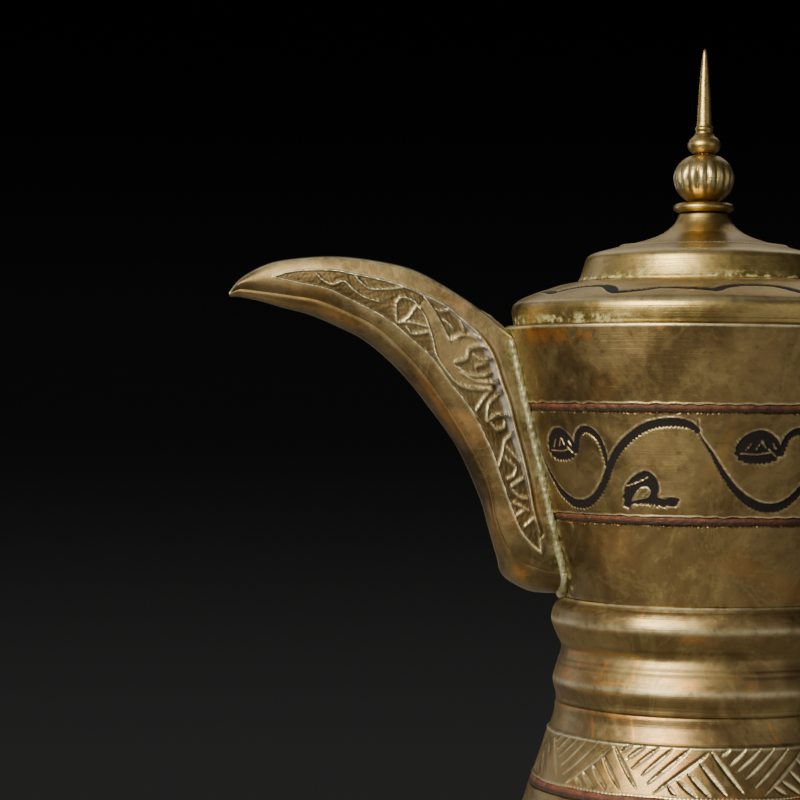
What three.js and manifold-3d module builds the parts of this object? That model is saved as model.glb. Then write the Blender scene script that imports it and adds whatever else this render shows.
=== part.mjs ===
// A dallah, the beaked brass coffee pot: a sheet-metal pot in three stages, a soldered-on beak with an open
// top, a cast handle and a domed lid with a spire, hinged above the handle.
// Millimetres, +Z up. The origin is the centre of the flat underside; the beak points to -X, the handle to +X.
import * as THREE from "three";
import { mergeVertices } from "three/addons/utils/BufferGeometryUtils.js";
import Module from "manifold-3d";

const wasm = await Module();
wasm.setup();

// ---- driving dimensions ----
const wall = 1.4; // sheet of the pot and beak
const lidWall = 1.2; // sheet of the lid
const gap = 0.3; // clearance left at every soldered or riveted face
const sides = 40; // facets round the pot
const fineSides = 16; // facets round small turned pieces

const baseRadius = 58;
const baseThickness = 1.8;
const collarFoot = 96.5; // height of the seam between belly and waist collar
const neckFoot = 128.4; // height of the seam between waist collar and neck
const neckFootRadius = 42.5;
const rimHeight = 210.9;
const rimRadius = 61;

const bandHeights = { belly_band: 72.2, neck_band_lower: 153.7, neck_band_upper: 186.5 };
const bandTall = 2;
const grooveDeep = 0.95;

const seatRing = { inner: 57.6, top: 210.2, tall: 2.6 }; // ring inside the mouth that the lid rests on
const flange = { radius: 57, bottom: 206, top: 215.6 }; // ring under the lid that drops into the mouth
const spireTip = 297;

const hinge = { x: 65.2, z: 214.3, knuckle: 3.2, pin: 1.5, bore: 1.8, leafHalf: 3, halfWidth: 9 };
const hingeLeaf = { bottom: 190, top: 209.6, halfWidth: 10, thick: 1.7 };
const handlePlate = { bottom: 158, top: 183, halfWidth: 9, thick: 1.7 };
const palmette = { bottom: 54, top: 90, halfWidth: 13, thick: 1.7 };
const rivetSize = { shank: 1.3, hole: 1.6, head: 2.9, dome: 1.3 };

// Outlines as radius and height, from the bottom up.
const bellyOutline = [
  [58.4, baseThickness + gap], [61.8, 12], [63, 27], [61, 43], [56.9, 57], [52.3, 71], [46.5, 88.6], [44, collarFoot],
];
const collarOutline = [
  [43.9, collarFoot + gap], [45, 103.1], [42.5, 112.6], [45.6, 121.4], [neckFootRadius, neckFoot],
];
const shoulderOutline = [
  [58.2, 210.6], [58.6, 215.8], [58.2, 217.4], [56.6, 219], [52.3, 221], [47.2, 222.8], [38.9, 224.8], [36.6, 225.1],
];
const crownOutline = [
  [38.6, 226.1], [37.6, 227.3], [35.6, 232.2], [34.4, 233.3], [25.3, 236],
  [14.1, 239.2], [8.8, 243], [7.4, 246], [2.4, 246.2],
];

// The beak's side view. Each row is one station from the tip to inside the neck: the top edge's x and z,
// the crease between flat cheek and round keel, the underside, and half the width.
const beak = [
  { top: [-145.8, 220.6], crease: [-145.7, 220.1], under: [-145.6, 219.6], half: 1.3 },
  { top: [-142.0, 225.1], crease: [-142.3, 221.7], under: [-142.7, 219.4], half: 2.2 },
  { top: [-133.2, 229.5], crease: [-135.5, 221.0], under: [-136.8, 218.2], half: 4.0 },
  { top: [-122.0, 231.2], crease: [-126.8, 219.8], under: [-128.9, 216.2], half: 5.6 },
  { top: [-111.6, 231.5], crease: [-118.8, 218.5], under: [-121.5, 214.1], half: 7.0 },
  { top: [-100.9, 230.3], crease: [-109.3, 215.0], under: [-112.8, 210.8], half: 8.3 },
  { top: [-89.9, 227.8], crease: [-99.6, 210.0], under: [-103.5, 205.9], half: 9.5 },
  { top: [-80.8, 223.3], crease: [-89.6, 200.8], under: [-93.0, 196.5], half: 10.5 },
  { top: [-72.4, 218.0], crease: [-81.7, 191.0], under: [-83.5, 185.1], half: 11.3 },
  { top: [-66.5, 213.7], crease: [-74.4, 179.6], under: [-75.3, 173.4], half: 11.9 },
  { top: [-61.9, 209.7], crease: [-66.7, 165.8], under: [-68.6, 159.4], half: 12.4 },
  { top: [-54, 203.5], crease: [-63.4, 152.8], under: [-65.6, 149.4], half: 12.5 },
  { top: [-50, 196.5], crease: [-60.5, 145.4], under: [-63.0, 140.5], half: 12.5 },
  { top: [-46, 188.5], crease: [-58.2, 142.2], under: [-61.9, 136.2], half: 12.5 },
  { top: [-42, 180.5], crease: [-54.4, 139.0], under: [-59.2, 133.0], half: 12.5 },
  { top: [-38, 172.5], crease: [-50.1, 137.3], under: [-53.7, 130.2], half: 12.5 },
  { top: [-34, 164.5], crease: [-45.2, 136.2], under: [-48.1, 129.2], half: 12.5 },
  { top: [-28, 152.5], crease: [-36, 135.6], under: [-38.5, 129], half: 12.5 },
];
const beakSteps = 20; // sections along the beak
const beakRootHalf = 12.8; // half the beak's width at the neck, with its clearance
const bridgeFrom = 8; // station where the bridge over the beak's root begins
const bridgeTo = 10.2;
const bridgeCrown = 1.6;
const beakSlot = { bottom: 142, shoulder: 185, top: 201, half: 9.6 }; // pointed opening through the neck
const beadRadius = 1.6; // solder bead along each side of the beak's root

// The handle's centre line in side view, with half its width and half its thickness at each point.
const handleLine = [
  { at: [50, 168], wide: 6.0, thick: 4.4 },
  { at: [60, 176.5], wide: 6.0, thick: 4.4 },
  { at: [76, 185], wide: 5.4, thick: 4.0 },
  { at: [95, 185], wide: 6.6, thick: 4.6 },
  { at: [109, 172], wide: 7.8, thick: 5.2 },
  { at: [113.5, 152], wide: 8.2, thick: 5.4 },
  { at: [110, 129], wide: 7.6, thick: 5.0 },
  { at: [99, 108], wide: 6.6, thick: 4.6 },
  { at: [83, 91], wide: 5.6, thick: 4.2 },
  { at: [66, 78], wide: 6.0, thick: 4.4 },
  { at: [50, 68], wide: 6.0, thick: 4.4 },
];
const handleSteps = 20;
const handleSides = 10;
const handleCollars = { handle_upper_collar: 0.235, handle_lower_collar: 0.8 }; // share of the way along

// ---- closed surfaces ----

// Any geometry as one indexed closed surface that faces outwards.
function closed(geometry) {
  const loose = geometry.index ? geometry.toNonIndexed() : geometry.clone();
  const bare = new THREE.BufferGeometry().setAttribute("position", loose.getAttribute("position"));
  const merged = mergeVertices(bare, 1e-4);
  const corner = merged.index.array;
  const kept = [];
  const [a, b, c] = [new THREE.Vector3(), new THREE.Vector3(), new THREE.Vector3()];
  let volume = 0;
  for (let i = 0; i < corner.length; i += 3) {
    const [p, q, r] = [corner[i], corner[i + 1], corner[i + 2]];
    if (p === q || q === r || r === p) continue;
    kept.push(p, q, r);
    a.fromBufferAttribute(merged.attributes.position, p);
    b.fromBufferAttribute(merged.attributes.position, q);
    c.fromBufferAttribute(merged.attributes.position, r);
    volume += a.dot(b.cross(c));
  }
  if (volume < 0) kept.reverse();
  merged.setIndex(kept);
  return merged;
}

function toSolid(geometry) {
  const surface = closed(geometry);
  return new wasm.Manifold(
    new wasm.Mesh({
      numProp: 3,
      vertProperties: new Float32Array(surface.attributes.position.array),
      triVerts: new Uint32Array(surface.index.array),
    }),
  );
}

function toGeometry(solid) {
  const mesh = solid.getMesh();
  const geometry = new THREE.BufferGeometry();
  geometry.setAttribute("position", new THREE.BufferAttribute(mesh.vertProperties, 3));
  geometry.setIndex(new THREE.BufferAttribute(mesh.triVerts, 1));
  return geometry;
}

function cut(geometry, ...tools) {
  return toGeometry(tools.reduce((left, tool) => left.subtract(toSolid(tool)), toSolid(geometry)));
}

function join(geometry, ...others) {
  return toGeometry(others.reduce((whole, other) => whole.add(toSolid(other)), toSolid(geometry)));
}

function common(geometry, other) {
  return toGeometry(toSolid(geometry).intersect(toSolid(other)));
}

// A profile of radius and height turned round +Z. A profile that stays off the axis is closed on itself.
function turned(profile, facets = sides) {
  const points = profile.map(([r, z]) => new THREE.Vector2(r, z));
  if (profile[0][0] > 0) points.push(points[0].clone());
  return closed(new THREE.LatheGeometry(points, facets).rotateX(Math.PI / 2));
}

// The outline moved sideways by a distance, each corner mitred.
function offset(outline, distance) {
  return outline.map(([r, z], i) => {
    const before = outline[Math.max(i - 1, 0)];
    const after = outline[Math.min(i + 1, outline.length - 1)];
    const way = [[r - before[0], z - before[1]], [after[0] - r, after[1] - z]]
      .filter(([x, y]) => Math.hypot(x, y) > 0)
      .map(([x, y]) => [x / Math.hypot(x, y), y / Math.hypot(x, y)]);
    const normals = way.map(([x, y]) => [y, -x]);
    const sum = normals.reduce(([x, y], [u, v]) => [x + u, y + v], [0, 0]);
    const length = Math.hypot(...sum);
    const mitre = distance / ((sum[0] * normals[0][0] + sum[1] * normals[0][1]) / length);
    return [r + (sum[0] / length) * mitre, z + (sum[1] / length) * mitre];
  });
}

// Sheet of one thickness whose outer face follows an outline.
function spunSheet(outline, thickness, facets = sides) {
  return turned([...outline, ...offset(outline, -thickness).reverse()], facets);
}

function smooth(outline, steps) {
  const curve = new THREE.SplineCurve(outline.map(([r, z]) => new THREE.Vector2(r, z)));
  return curve.getPoints(steps).map((p) => [p.x, p.y]);
}

// Radius of an outline at a height.
function radiusAt(outline, height) {
  const i = Math.max(1, outline.findIndex(([, z]) => z >= height));
  const [[r0, z0], [r1, z1]] = [outline[i - 1], outline[i]];
  return r0 + ((r1 - r0) * (height - z0)) / (z1 - z0);
}

// Two equal grids of points, the outer and inner faces of a bent plate, closed along their four edges.
function bentPlate(outer, inner) {
  const rows = outer.length;
  const columns = outer[0].length;
  const triangles = [];
  const at = (face, row, column) => (face * rows + row) * columns + column;
  const quad = (a, b, c, d) => triangles.push(a, b, c, a, c, d);
  for (let r = 0; r < rows - 1; r++) {
    for (let c = 0; c < columns - 1; c++) {
      quad(at(0, r, c), at(0, r, c + 1), at(0, r + 1, c + 1), at(0, r + 1, c));
      quad(at(1, r, c), at(1, r + 1, c), at(1, r + 1, c + 1), at(1, r, c + 1));
    }
    const c = columns - 1;
    quad(at(0, r, 0), at(0, r + 1, 0), at(1, r + 1, 0), at(1, r, 0));
    quad(at(0, r, c), at(1, r, c), at(1, r + 1, c), at(0, r + 1, c));
  }
  for (let c = 0; c < columns - 1; c++) {
    const r = rows - 1;
    quad(at(0, 0, c), at(1, 0, c), at(1, 0, c + 1), at(0, 0, c + 1));
    quad(at(0, r, c), at(0, r, c + 1), at(1, r, c + 1), at(1, r, c));
  }
  const geometry = new THREE.BufferGeometry().setFromPoints([...outer.flat(), ...inner.flat()]);
  geometry.setIndex(triangles);
  return closed(geometry);
}

// An outline in the side view (x, z) carried across the pot between two y values.
function sidePlate(shape, fromY, toY) {
  const geometry = new THREE.ExtrudeGeometry(shape, { depth: toY - fromY, bevelEnabled: false, curveSegments: 8 });
  return closed(geometry.rotateX(Math.PI / 2).translate(0, toY, 0));
}

// An outline in the front view (y, z) carried along x.
function frontPlate(shape, fromX, toX) {
  const geometry = new THREE.ExtrudeGeometry(shape, { depth: toX - fromX, bevelEnabled: false, curveSegments: 6 });
  const turn = new THREE.Matrix4().makeBasis(
    new THREE.Vector3(0, 1, 0), new THREE.Vector3(0, 0, 1), new THREE.Vector3(1, 0, 0),
  );
  return closed(geometry.applyMatrix4(turn).translate(fromX, 0, 0));
}

function block(x0, x1, y0, y1, z0, z1) {
  return new THREE.BoxGeometry(x1 - x0, y1 - y0, z1 - z0).translate((x0 + x1) / 2, (y0 + y1) / 2, (z0 + z1) / 2);
}

function crossRod(radius, fromY, toY) {
  return new THREE.CylinderGeometry(radius, radius, toY - fromY, fineSides)
    .translate(hinge.x, (fromY + toY) / 2, 0)
    .translate(0, 0, hinge.z);
}

// ---- pot body ----
const belly = smooth(bellyOutline, 10);
const collar = smooth(collarOutline, 9);
const neck = [[neckFootRadius, neckFoot + gap], [rimRadius, rimHeight]];

// A solid core that fills the pot out to a distance beyond its skin, for trimming what is fastened on.
function potCore(beyond) {
  const skin = [...belly, ...collar, ...neck, [rimRadius + 0.9, rimHeight + 5]];
  return turned([[0, 1], ...skin.map(([r, z]) => [r + beyond, z]), [0, rimHeight + 5]]);
}

function bandGroove(height, radius) {
  const half = bandTall / 2 + gap;
  return turned([
    [radius - grooveDeep, height - half], [radius + 3, height - half],
    [radius + 3, height + half], [radius - grooveDeep, height + half],
  ]);
}

function inlayBand(height, outline) {
  const low = height - bandTall / 2;
  const high = height + bandTall / 2;
  const outer = [[radiusAt(outline, low) - 0.1, low], [radiusAt(outline, high) - 0.1, high]];
  const inner = radiusAt(outline, height) - grooveDeep + gap;
  return turned([...outer, [inner, high], [inner, low]]);
}

// A plate bent to lie on the skin: a layer of the pot's surface kept inside a front-view outline.
function skinPlate(outline, shape, thickness) {
  const inside = offset(outline, gap);
  const layer = turned([...offset(outline, gap + thickness), ...inside.reverse()], sides);
  return common(layer, frontPlate(shape, 20, 90));
}

function plateOutline(low, high, half, pointed) {
  const shape = new THREE.Shape();
  const middle = (low + high) / 2;
  shape.moveTo(-half, pointed ? middle : low);
  if (pointed) {
    shape.quadraticCurveTo(-half, low + half * 0.4, 0, low);
    shape.quadraticCurveTo(half, low + half * 0.4, half, middle);
    shape.quadraticCurveTo(half, high - half * 0.4, 0, high);
    shape.quadraticCurveTo(-half, high - half * 0.4, -half, middle);
  } else {
    shape.lineTo(half, low);
    shape.lineTo(half, high);
    shape.lineTo(-half, high);
  }
  return shape;
}

// ---- rivets: a shank with a domed head outside and a flat peened head inside ----
const rivets = [];
function addRivet(name, place, outward, reach) {
  rivets.push({ name, place: new THREE.Vector3(...place), outward: new THREE.Vector3(...outward).normalize(), reach });
}
function riveted(geometry, rivet) {
  const turn = new THREE.Quaternion().setFromUnitVectors(new THREE.Vector3(0, 0, 1), rivet.outward);
  return geometry.applyQuaternion(turn).translate(rivet.place.x, rivet.place.y, rivet.place.z);
}
function rivetSolid(rivet) {
  const { shank, head, dome } = rivetSize;
  const low = -rivet.reach;
  const profile = [
    [0, low - 0.8], [2.2, low - 0.8], [2.2, low], [shank, low], [shank, 0], [head, 0],
    [head * 0.7, dome * 0.8], [0, dome],
  ];
  return riveted(turned(profile, 10), rivet);
}
function rivetHole(rivet) {
  const drill = new THREE.CylinderGeometry(rivetSize.hole, rivetSize.hole, 16, 10).rotateX(Math.PI / 2);
  return riveted(drill, rivet);
}
function holesOf(prefix) {
  return rivets.filter(({ name }) => name.startsWith(prefix)).map(rivetHole);
}

const neckSlope = (rimRadius - neckFootRadius) / (rimHeight - neckFoot);
const stack = gap * 2 + hingeLeaf.thick + wall + gap; // from a head's underside to the inner face of the wall
// A rivet on the neck, standing square to the cone at a height and a distance to the side.
function neckRivet(name, y, z) {
  const radius = radiusAt(neck, z) + gap * 2 + hingeLeaf.thick;
  const x = Math.sqrt(radius * radius - y * y);
  addRivet(name, [x, y, z], [x / radius, y / radius, -neckSlope], stack);
}
function bellyRivet(name, y, z) {
  const radius = radiusAt(belly, z) + gap * 2 + palmette.thick;
  const x = Math.sqrt(radius * radius - y * y);
  const slope = (radiusAt(belly, z + 2) - radiusAt(belly, z - 2)) / 4;
  addRivet(name, [x, y, z], [x / radius, y / radius, -slope], stack + 0.2);
}
neckRivet("rivet_hinge_left", -6, 196);
neckRivet("rivet_hinge_right", 6, 196);
neckRivet("rivet_handle_left", -5.6, 162);
neckRivet("rivet_handle_right", 5.6, 162);
bellyRivet("rivet_palmette_left", -6.4, 84);
bellyRivet("rivet_palmette_right", 6.4, 84);
bellyRivet("rivet_palmette_low", 0, 60);

// ---- beak ----
const stationLine = (pick) => new THREE.CatmullRomCurve3(beak.map(pick));
const topLine = stationLine(({ top, half }) => new THREE.Vector3(top[0], half, top[1]));
const creaseLine = stationLine(({ crease, half }) => new THREE.Vector3(crease[0], half, crease[1]));
const underLine = stationLine(({ under }) => new THREE.Vector3(under[0], 0, under[1]));
const alongBeak = (count, from, to) =>
  Array.from({ length: count + 1 }, (_, i) => (from + ((to - from) * i) / count) / (beak.length - 1));

// The round keel: at each station a half ellipse from one crease down to the underside and up to the other.
function keelGrid(thickness) {
  return alongBeak(beakSteps, 0, beak.length - 1).map((t) => {
    const crease = creaseLine.getPoint(t);
    const under = underLine.getPoint(t);
    const deep = new THREE.Vector3(under.x - crease.x, 0, under.z - crease.z);
    const half = Math.max(crease.y - thickness, crease.y * 0.35);
    const share = Math.max(1 - thickness / deep.length(), 0.35);
    return Array.from({ length: 9 }, (_, i) => {
      const turn = (Math.PI * (i - 4)) / 8;
      return new THREE.Vector3(crease.x, 0, crease.z)
        .addScaledVector(deep, share * Math.cos(turn))
        .setY(half * Math.sin(turn));
    });
  });
}

// One flat cheek: straight from the crease to the top edge at each station.
function cheekGrid(side, thickness) {
  return alongBeak(beakSteps, 0, beak.length - 1).map((t) => {
    const crease = creaseLine.getPoint(t);
    const top = topLine.getPoint(t);
    const up = new THREE.Vector3().subVectors(top, crease);
    const start = crease.addScaledVector(up, Math.min(gap / up.length(), 0.3));
    return [start, top].map((p) => p.setY(side * Math.max(p.y - thickness, p.y * 0.35)));
  });
}

function bridgeGrid(drop) {
  const rows = alongBeak(6, bridgeFrom, bridgeTo);
  return rows.map((t, i) => {
    const top = topLine.getPoint(t);
    const half = top.y - wall - gap;
    return Array.from({ length: 7 }, (_, j) => {
      const y = half * (j / 3 - 1);
      const lift = (bridgeCrown * Math.min(1, i / 3)) * (1 - (y / half) ** 2) - drop;
      return new THREE.Vector3(top.x + lift * 0.5, y, top.z - 0.2 + lift * 0.85);
    });
  });
}

// A quarter-round bead of solder where a cheek meets the neck.
function solderBead(side) {
  const line = [];
  for (let z = 130.5; z <= 207.5; z += 7) {
    const radius = radiusAt(neck, z) + gap;
    const x = -Math.sqrt(radius * radius - beakRootHalf * beakRootHalf);
    line.push(new THREE.Vector3(x, side * beakRootHalf, z));
  }
  const ring = new THREE.Shape().absarc(0, 0, beadRadius, 0, Math.PI * 2);
  const tube = new THREE.ExtrudeGeometry(ring, {
    steps: 12, curveSegments: 5, extrudePath: new THREE.CatmullRomCurve3(line),
  });
  return cut(tube, potCore(gap), block(-80, -20, -beakRootHalf, beakRootHalf, 100, 230));
}

function slotTool() {
  const { bottom, shoulder, top, half } = beakSlot;
  const shape = new THREE.Shape().moveTo(-half, bottom + half);
  shape.quadraticCurveTo(-half, bottom, 0, bottom);
  shape.quadraticCurveTo(half, bottom, half, bottom + half);
  shape.lineTo(half, shoulder);
  shape.quadraticCurveTo(half, top - 5, 0, top);
  shape.quadraticCurveTo(-half, top - 5, -half, shoulder);
  return frontPlate(shape, -80, -20);
}

// ---- handle ----
const handlePath = new THREE.CatmullRomCurve3(handleLine.map(({ at }) => new THREE.Vector3(at[0], 0, at[1])));
const handleGirth = new THREE.CatmullRomCurve3(
  handleLine.map(({ wide, thick }) => new THREE.Vector3(wide, thick, 0)),
);

// Ellipses square to a line in the side view, from share a to share b of its length, fanned shut at both ends.
function handleLength(from, to, steps, extra, bulge = () => 0) {
  const points = [];
  const triangles = [];
  for (let i = 0; i <= steps; i++) {
    const t = from + ((to - from) * i) / steps;
    const centre = handlePath.getPoint(t);
    const way = handlePath.getTangent(t);
    const girth = handleGirth.getPoint(t);
    const more = extra + bulge(i / steps);
    for (let j = 0; j < handleSides; j++) {
      const turn = (2 * Math.PI * j) / handleSides;
      const out = (girth.y + more) * Math.sin(turn);
      points.push(
        new THREE.Vector3(centre.x - way.z * out, (girth.x + more) * Math.cos(turn), centre.z + way.x * out),
      );
    }
  }
  for (let i = 0; i < steps; i++) {
    for (let j = 0; j < handleSides; j++) {
      const next = (j + 1) % handleSides;
      const [a, b] = [i * handleSides + j, i * handleSides + next];
      triangles.push(a, b, b + handleSides, a, b + handleSides, a + handleSides);
    }
  }
  const last = steps * handleSides;
  for (let j = 1; j < handleSides - 1; j++) {
    triangles.push(0, j + 1, j, last, last + j, last + j + 1);
  }
  const geometry = new THREE.BufferGeometry().setFromPoints(points);
  geometry.setIndex(triangles);
  return closed(geometry);
}

function handleCollar(share) {
  const half = 0.016;
  const bulge = (t) => 1.5 * Math.sin(Math.PI * t);
  const ring = handleLength(share - half, share + half, 6, gap + 0.6, bulge);
  return cut(ring, handleLength(share - 2 * half, share + 2 * half, 8, gap));
}

// ---- hinge ----
function bodyLeaf() {
  const shape = plateOutline(hingeLeaf.bottom, hingeLeaf.top, hingeLeaf.halfWidth, false);
  let leaf = skinPlate(neck, shape, hingeLeaf.thick);
  for (const side of [-1, 1]) {
    const y = [side * (hinge.leafHalf + gap), side * hinge.halfWidth].sort((a, b) => a - b);
    const lug = block(61.6, hinge.x, y[0], y[1], 205, hinge.z);
    leaf = join(leaf, lug, crossRod(hinge.knuckle, y[0], y[1]));
  }
  return cut(leaf, crossRod(hinge.bore, -20, 20), ...holesOf("rivet_hinge"));
}

// The lid's strap lies on the shoulder and ends in the middle knuckle.
function lidLeaf() {
  const top = [[42, 227], [47.3, 225.7], [52.8, 223.8], [58, 221.6], [hinge.x, hinge.z + hinge.knuckle]];
  const under = [[hinge.x, hinge.z], [62.4, 214.4], [60, 218.3], [57.1, 220.1], [52.4, 221.9], [47.2, 223.7], [42, 225.1]];
  const shape = new THREE.Shape([...top, ...under].map(([x, z]) => new THREE.Vector2(x, z)));
  const narrow = sidePlate(shape, -hinge.leafHalf, hinge.leafHalf);
  const wide = common(sidePlate(shape, -6, 6), block(30, 60.5, -6, 6, 200, 240));
  const whole = join(narrow, wide, crossRod(hinge.knuckle, -hinge.leafHalf, hinge.leafHalf));
  return cut(whole, crossRod(hinge.bore, -20, 20), ...holesOf("rivet_lid"));
}
addRivet("rivet_lid_front", [46, 0, 226.4], [0.27, 0, 1], 5.3);
addRivet("rivet_lid_back", [54, 0, 223.7], [0.42, 0, 1], 5.8);

function hingePin() {
  const half = hinge.halfWidth + 0.4;
  const shank = crossRod(hinge.pin, -half - 0.2, half + 0.2);
  const heads = [-1, 1].map((side) => {
    const y = [side * half, side * (half + 1.3)].sort((a, b) => a - b);
    return crossRod(2.3, y[0], y[1]);
  });
  return join(shank, ...heads);
}

// ---- finial ----
const finialBore = 2.3;
const collarBead = [[finialBore, 246.5], [8.2, 246.5], [9.4, 248], [8.2, 249.6], [finialBore, 249.6]];
const knob = [
  [finialBore, 249.9], [5.2, 249.9], [8.6, 253], [9.6, 257], [8.2, 261], [4.6, 264.4], [finialBore, 264.4],
];
const spire = [
  [0, 240.6], [2, 240.6], [2, 264.7], [3.9, 264.7], [5.2, 267.4], [3.4, 270.2], [2.5, 273], [1.7, 285],
  [0.5, spireTip - 0.4], [0, spireTip],
];
const finialNut = [[finialBore, 241.6], [4.8, 241.6], [4.8, 244], [finialBore, 244]];

// ---- the assembly ----
const finishes = {
  brass: { color: 0x9c8048, roughness: 0.38, metalness: 1 },
  paleBrass: { color: 0xb39a63, roughness: 0.34, metalness: 1 },
  castBrass: { color: 0x94763f, roughness: 0.42, metalness: 1 },
  redInlay: { color: 0x6b2d1d, roughness: 0.7, metalness: 0 },
  solder: { color: 0xb4b39c, roughness: 0.55, metalness: 0.7 },
};
const dallah = new THREE.Group();
const pot = new THREE.Group();
const lid = new THREE.Group();
dallah.add(pot, lid);

function add(group, name, geometry, finish) {
  const mesh = new THREE.Mesh(geometry, new THREE.MeshStandardMaterial(finishes[finish]));
  mesh.name = name;
  group.add(mesh);
}

function buildPot() {
  const base = [[0, 0], [baseRadius, 0], [baseRadius + 0.4, baseThickness / 2], [baseRadius + 0.2, baseThickness]];
  add(pot, "base_plate", turned([...base, [0, baseThickness]]), "brass");
  const skirt = spunSheet(belly, wall);
  const bellyGroove = bandGroove(bandHeights.belly_band, radiusAt(belly, bandHeights.belly_band));
  add(pot, "belly_shell", cut(skirt, bellyGroove, ...holesOf("rivet_palmette")), "brass");
  add(pot, "waist_collar", spunSheet(collar, wall), "brass");
  const grooves = ["neck_band_lower", "neck_band_upper"].map((name) =>
    bandGroove(bandHeights[name], radiusAt(neck, bandHeights[name])),
  );
  const neckTools = [...grooves, slotTool(), ...holesOf("rivet_hinge"), ...holesOf("rivet_handle")];
  add(pot, "neck_shell", cut(spunSheet(neck, wall), ...neckTools), "brass");
  const ringOuter = (z) => radiusAt(neck, z) - wall - gap - 0.1;
  const ringFoot = seatRing.top - seatRing.tall;
  add(pot, "mouth_ring", turned([
    [seatRing.inner, ringFoot], [ringOuter(ringFoot), ringFoot],
    [ringOuter(seatRing.top), seatRing.top], [seatRing.inner, seatRing.top],
  ]), "brass");
  add(pot, "belly_band", inlayBand(bandHeights.belly_band, belly), "redInlay");
  const behindBeak = block(-80, -20, -beakRootHalf, beakRootHalf, neckFoot, rimHeight);
  for (const name of ["neck_band_lower", "neck_band_upper"]) {
    add(pot, name, cut(inlayBand(bandHeights[name], neck), behindBeak), "redInlay");
  }
}

function buildBeak() {
  const core = potCore(gap);
  add(pot, "spout_keel", cut(bentPlate(keelGrid(0), keelGrid(wall)), core), "brass");
  for (const [name, side] of [["left", -1], ["right", 1]]) {
    add(pot, "spout_cheek_" + name, cut(bentPlate(cheekGrid(side, 0), cheekGrid(side, wall)), core), "brass");
    add(pot, "spout_seam_" + name, solderBead(side), "solder");
  }
  add(pot, "spout_bridge", cut(bentPlate(bridgeGrid(0), bridgeGrid(lidWall)), core), "brass");
}

function buildHandle() {
  const plateShape = plateOutline(handlePlate.bottom, handlePlate.top, handlePlate.halfWidth, false);
  const plate = skinPlate(neck, plateShape, handlePlate.thick);
  add(pot, "handle_upper_plate", cut(plate, ...holesOf("rivet_handle")), "castBrass");
  const leafShape = plateOutline(palmette.bottom, palmette.top, palmette.halfWidth, true);
  const leaf = skinPlate(belly, leafShape, palmette.thick);
  add(pot, "handle_palmette", cut(leaf, ...holesOf("rivet_palmette")), "castBrass");
  const grip = handleLength(0, 1, handleSteps, 0);
  add(pot, "handle_grip", cut(grip, potCore(handlePlate.thick + 2.4 * gap)), "castBrass");
  for (const [name, share] of Object.entries(handleCollars)) {
    add(pot, name, handleCollar(share), "castBrass");
  }
}

function buildLid() {
  add(lid, "lid_shoulder", cut(spunSheet(shoulderOutline, lidWall), ...holesOf("rivet_lid")), "paleBrass");
  add(lid, "lid_crown", spunSheet(crownOutline, lidWall), "paleBrass");
  add(lid, "lid_flange", turned([
    [flange.radius - 1.2, flange.bottom], [flange.radius, flange.bottom],
    [flange.radius - 0.3, flange.top], [flange.radius - 1.5, flange.top],
  ]), "paleBrass");
  add(lid, "finial_collar", turned(collarBead, 24), "paleBrass");
  add(lid, "finial_knob", turned(knob, 24), "paleBrass");
  add(lid, "finial_spire", turned(spire, fineSides), "paleBrass");
  add(lid, "finial_nut", turned(finialNut, 6), "castBrass");
}

function buildHinge() {
  add(pot, "hinge_body_leaf", bodyLeaf(), "castBrass");
  add(lid, "hinge_lid_leaf", lidLeaf(), "castBrass");
  add(pot, "hinge_pin", hingePin(), "castBrass");
  for (const rivet of rivets) {
    add(rivet.name.startsWith("rivet_lid") ? lid : pot, rivet.name, rivetSolid(rivet), "castBrass");
  }
}

buildPot();
buildBeak();
buildHandle();
buildLid();
buildHinge();

export default dallah;
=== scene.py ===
# A brass coffee pot (dallah): turned body with inlaid vine and red bands, chased beak, cast handle, hinged lid.
# Shapes are worked out in millimetres, angles in degrees from the side the camera sees (-Y), towards +X.
import math
import bpy
import numpy as np
from mathutils import Matrix, Vector


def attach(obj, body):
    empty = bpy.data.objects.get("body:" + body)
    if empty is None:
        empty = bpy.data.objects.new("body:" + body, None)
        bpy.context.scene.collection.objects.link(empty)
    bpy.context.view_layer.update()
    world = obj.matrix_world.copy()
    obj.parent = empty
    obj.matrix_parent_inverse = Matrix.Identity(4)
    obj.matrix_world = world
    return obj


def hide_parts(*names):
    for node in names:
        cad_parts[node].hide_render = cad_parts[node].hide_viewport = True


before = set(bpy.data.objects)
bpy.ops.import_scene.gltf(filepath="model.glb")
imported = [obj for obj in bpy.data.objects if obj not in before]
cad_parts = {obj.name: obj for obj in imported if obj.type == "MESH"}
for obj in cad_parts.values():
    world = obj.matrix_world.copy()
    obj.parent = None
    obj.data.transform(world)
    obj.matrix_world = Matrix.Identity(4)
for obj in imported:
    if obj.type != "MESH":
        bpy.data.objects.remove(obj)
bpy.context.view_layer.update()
print("frame loaded:", len(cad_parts), "nodes")

millimetre = 0.001
fullTurn = 6.28
farAway = 99.0  # distance given to points that no line is near
dice = np.random.default_rng(7)


# curves and fields
# Smooth line through knots a, b, c, d: half of (2b + (c-a)t + (2a-5b+4c-d)t^2 + (3b-a-3c+d)t^3) between b and c.
def softCurve(knots, steps=12):
    k = np.asarray(knots, float)
    k = np.vstack([k[:1], k, k[-1:]])
    n = len(k) - 3
    a, b, c, d = (k[i:i + n, None, :] for i in range(4))
    t = (np.arange(steps) / steps)[None, :, None]
    line = 0.5 * (2 * b + (c - a) * t + (2 * a - 5 * b + 4 * c - d) * t**2 + (3 * b - a - 3 * c + d) * t**3)
    return np.vstack([line.reshape(-1, k.shape[1]), k[-1:]])


# The same line led back to its first knot, its last point left out.
def softLoop(knots, steps=12):
    k = np.asarray(knots, float)
    return softCurve(np.vstack([k, k[:1]]), steps)[:-1]


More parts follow.
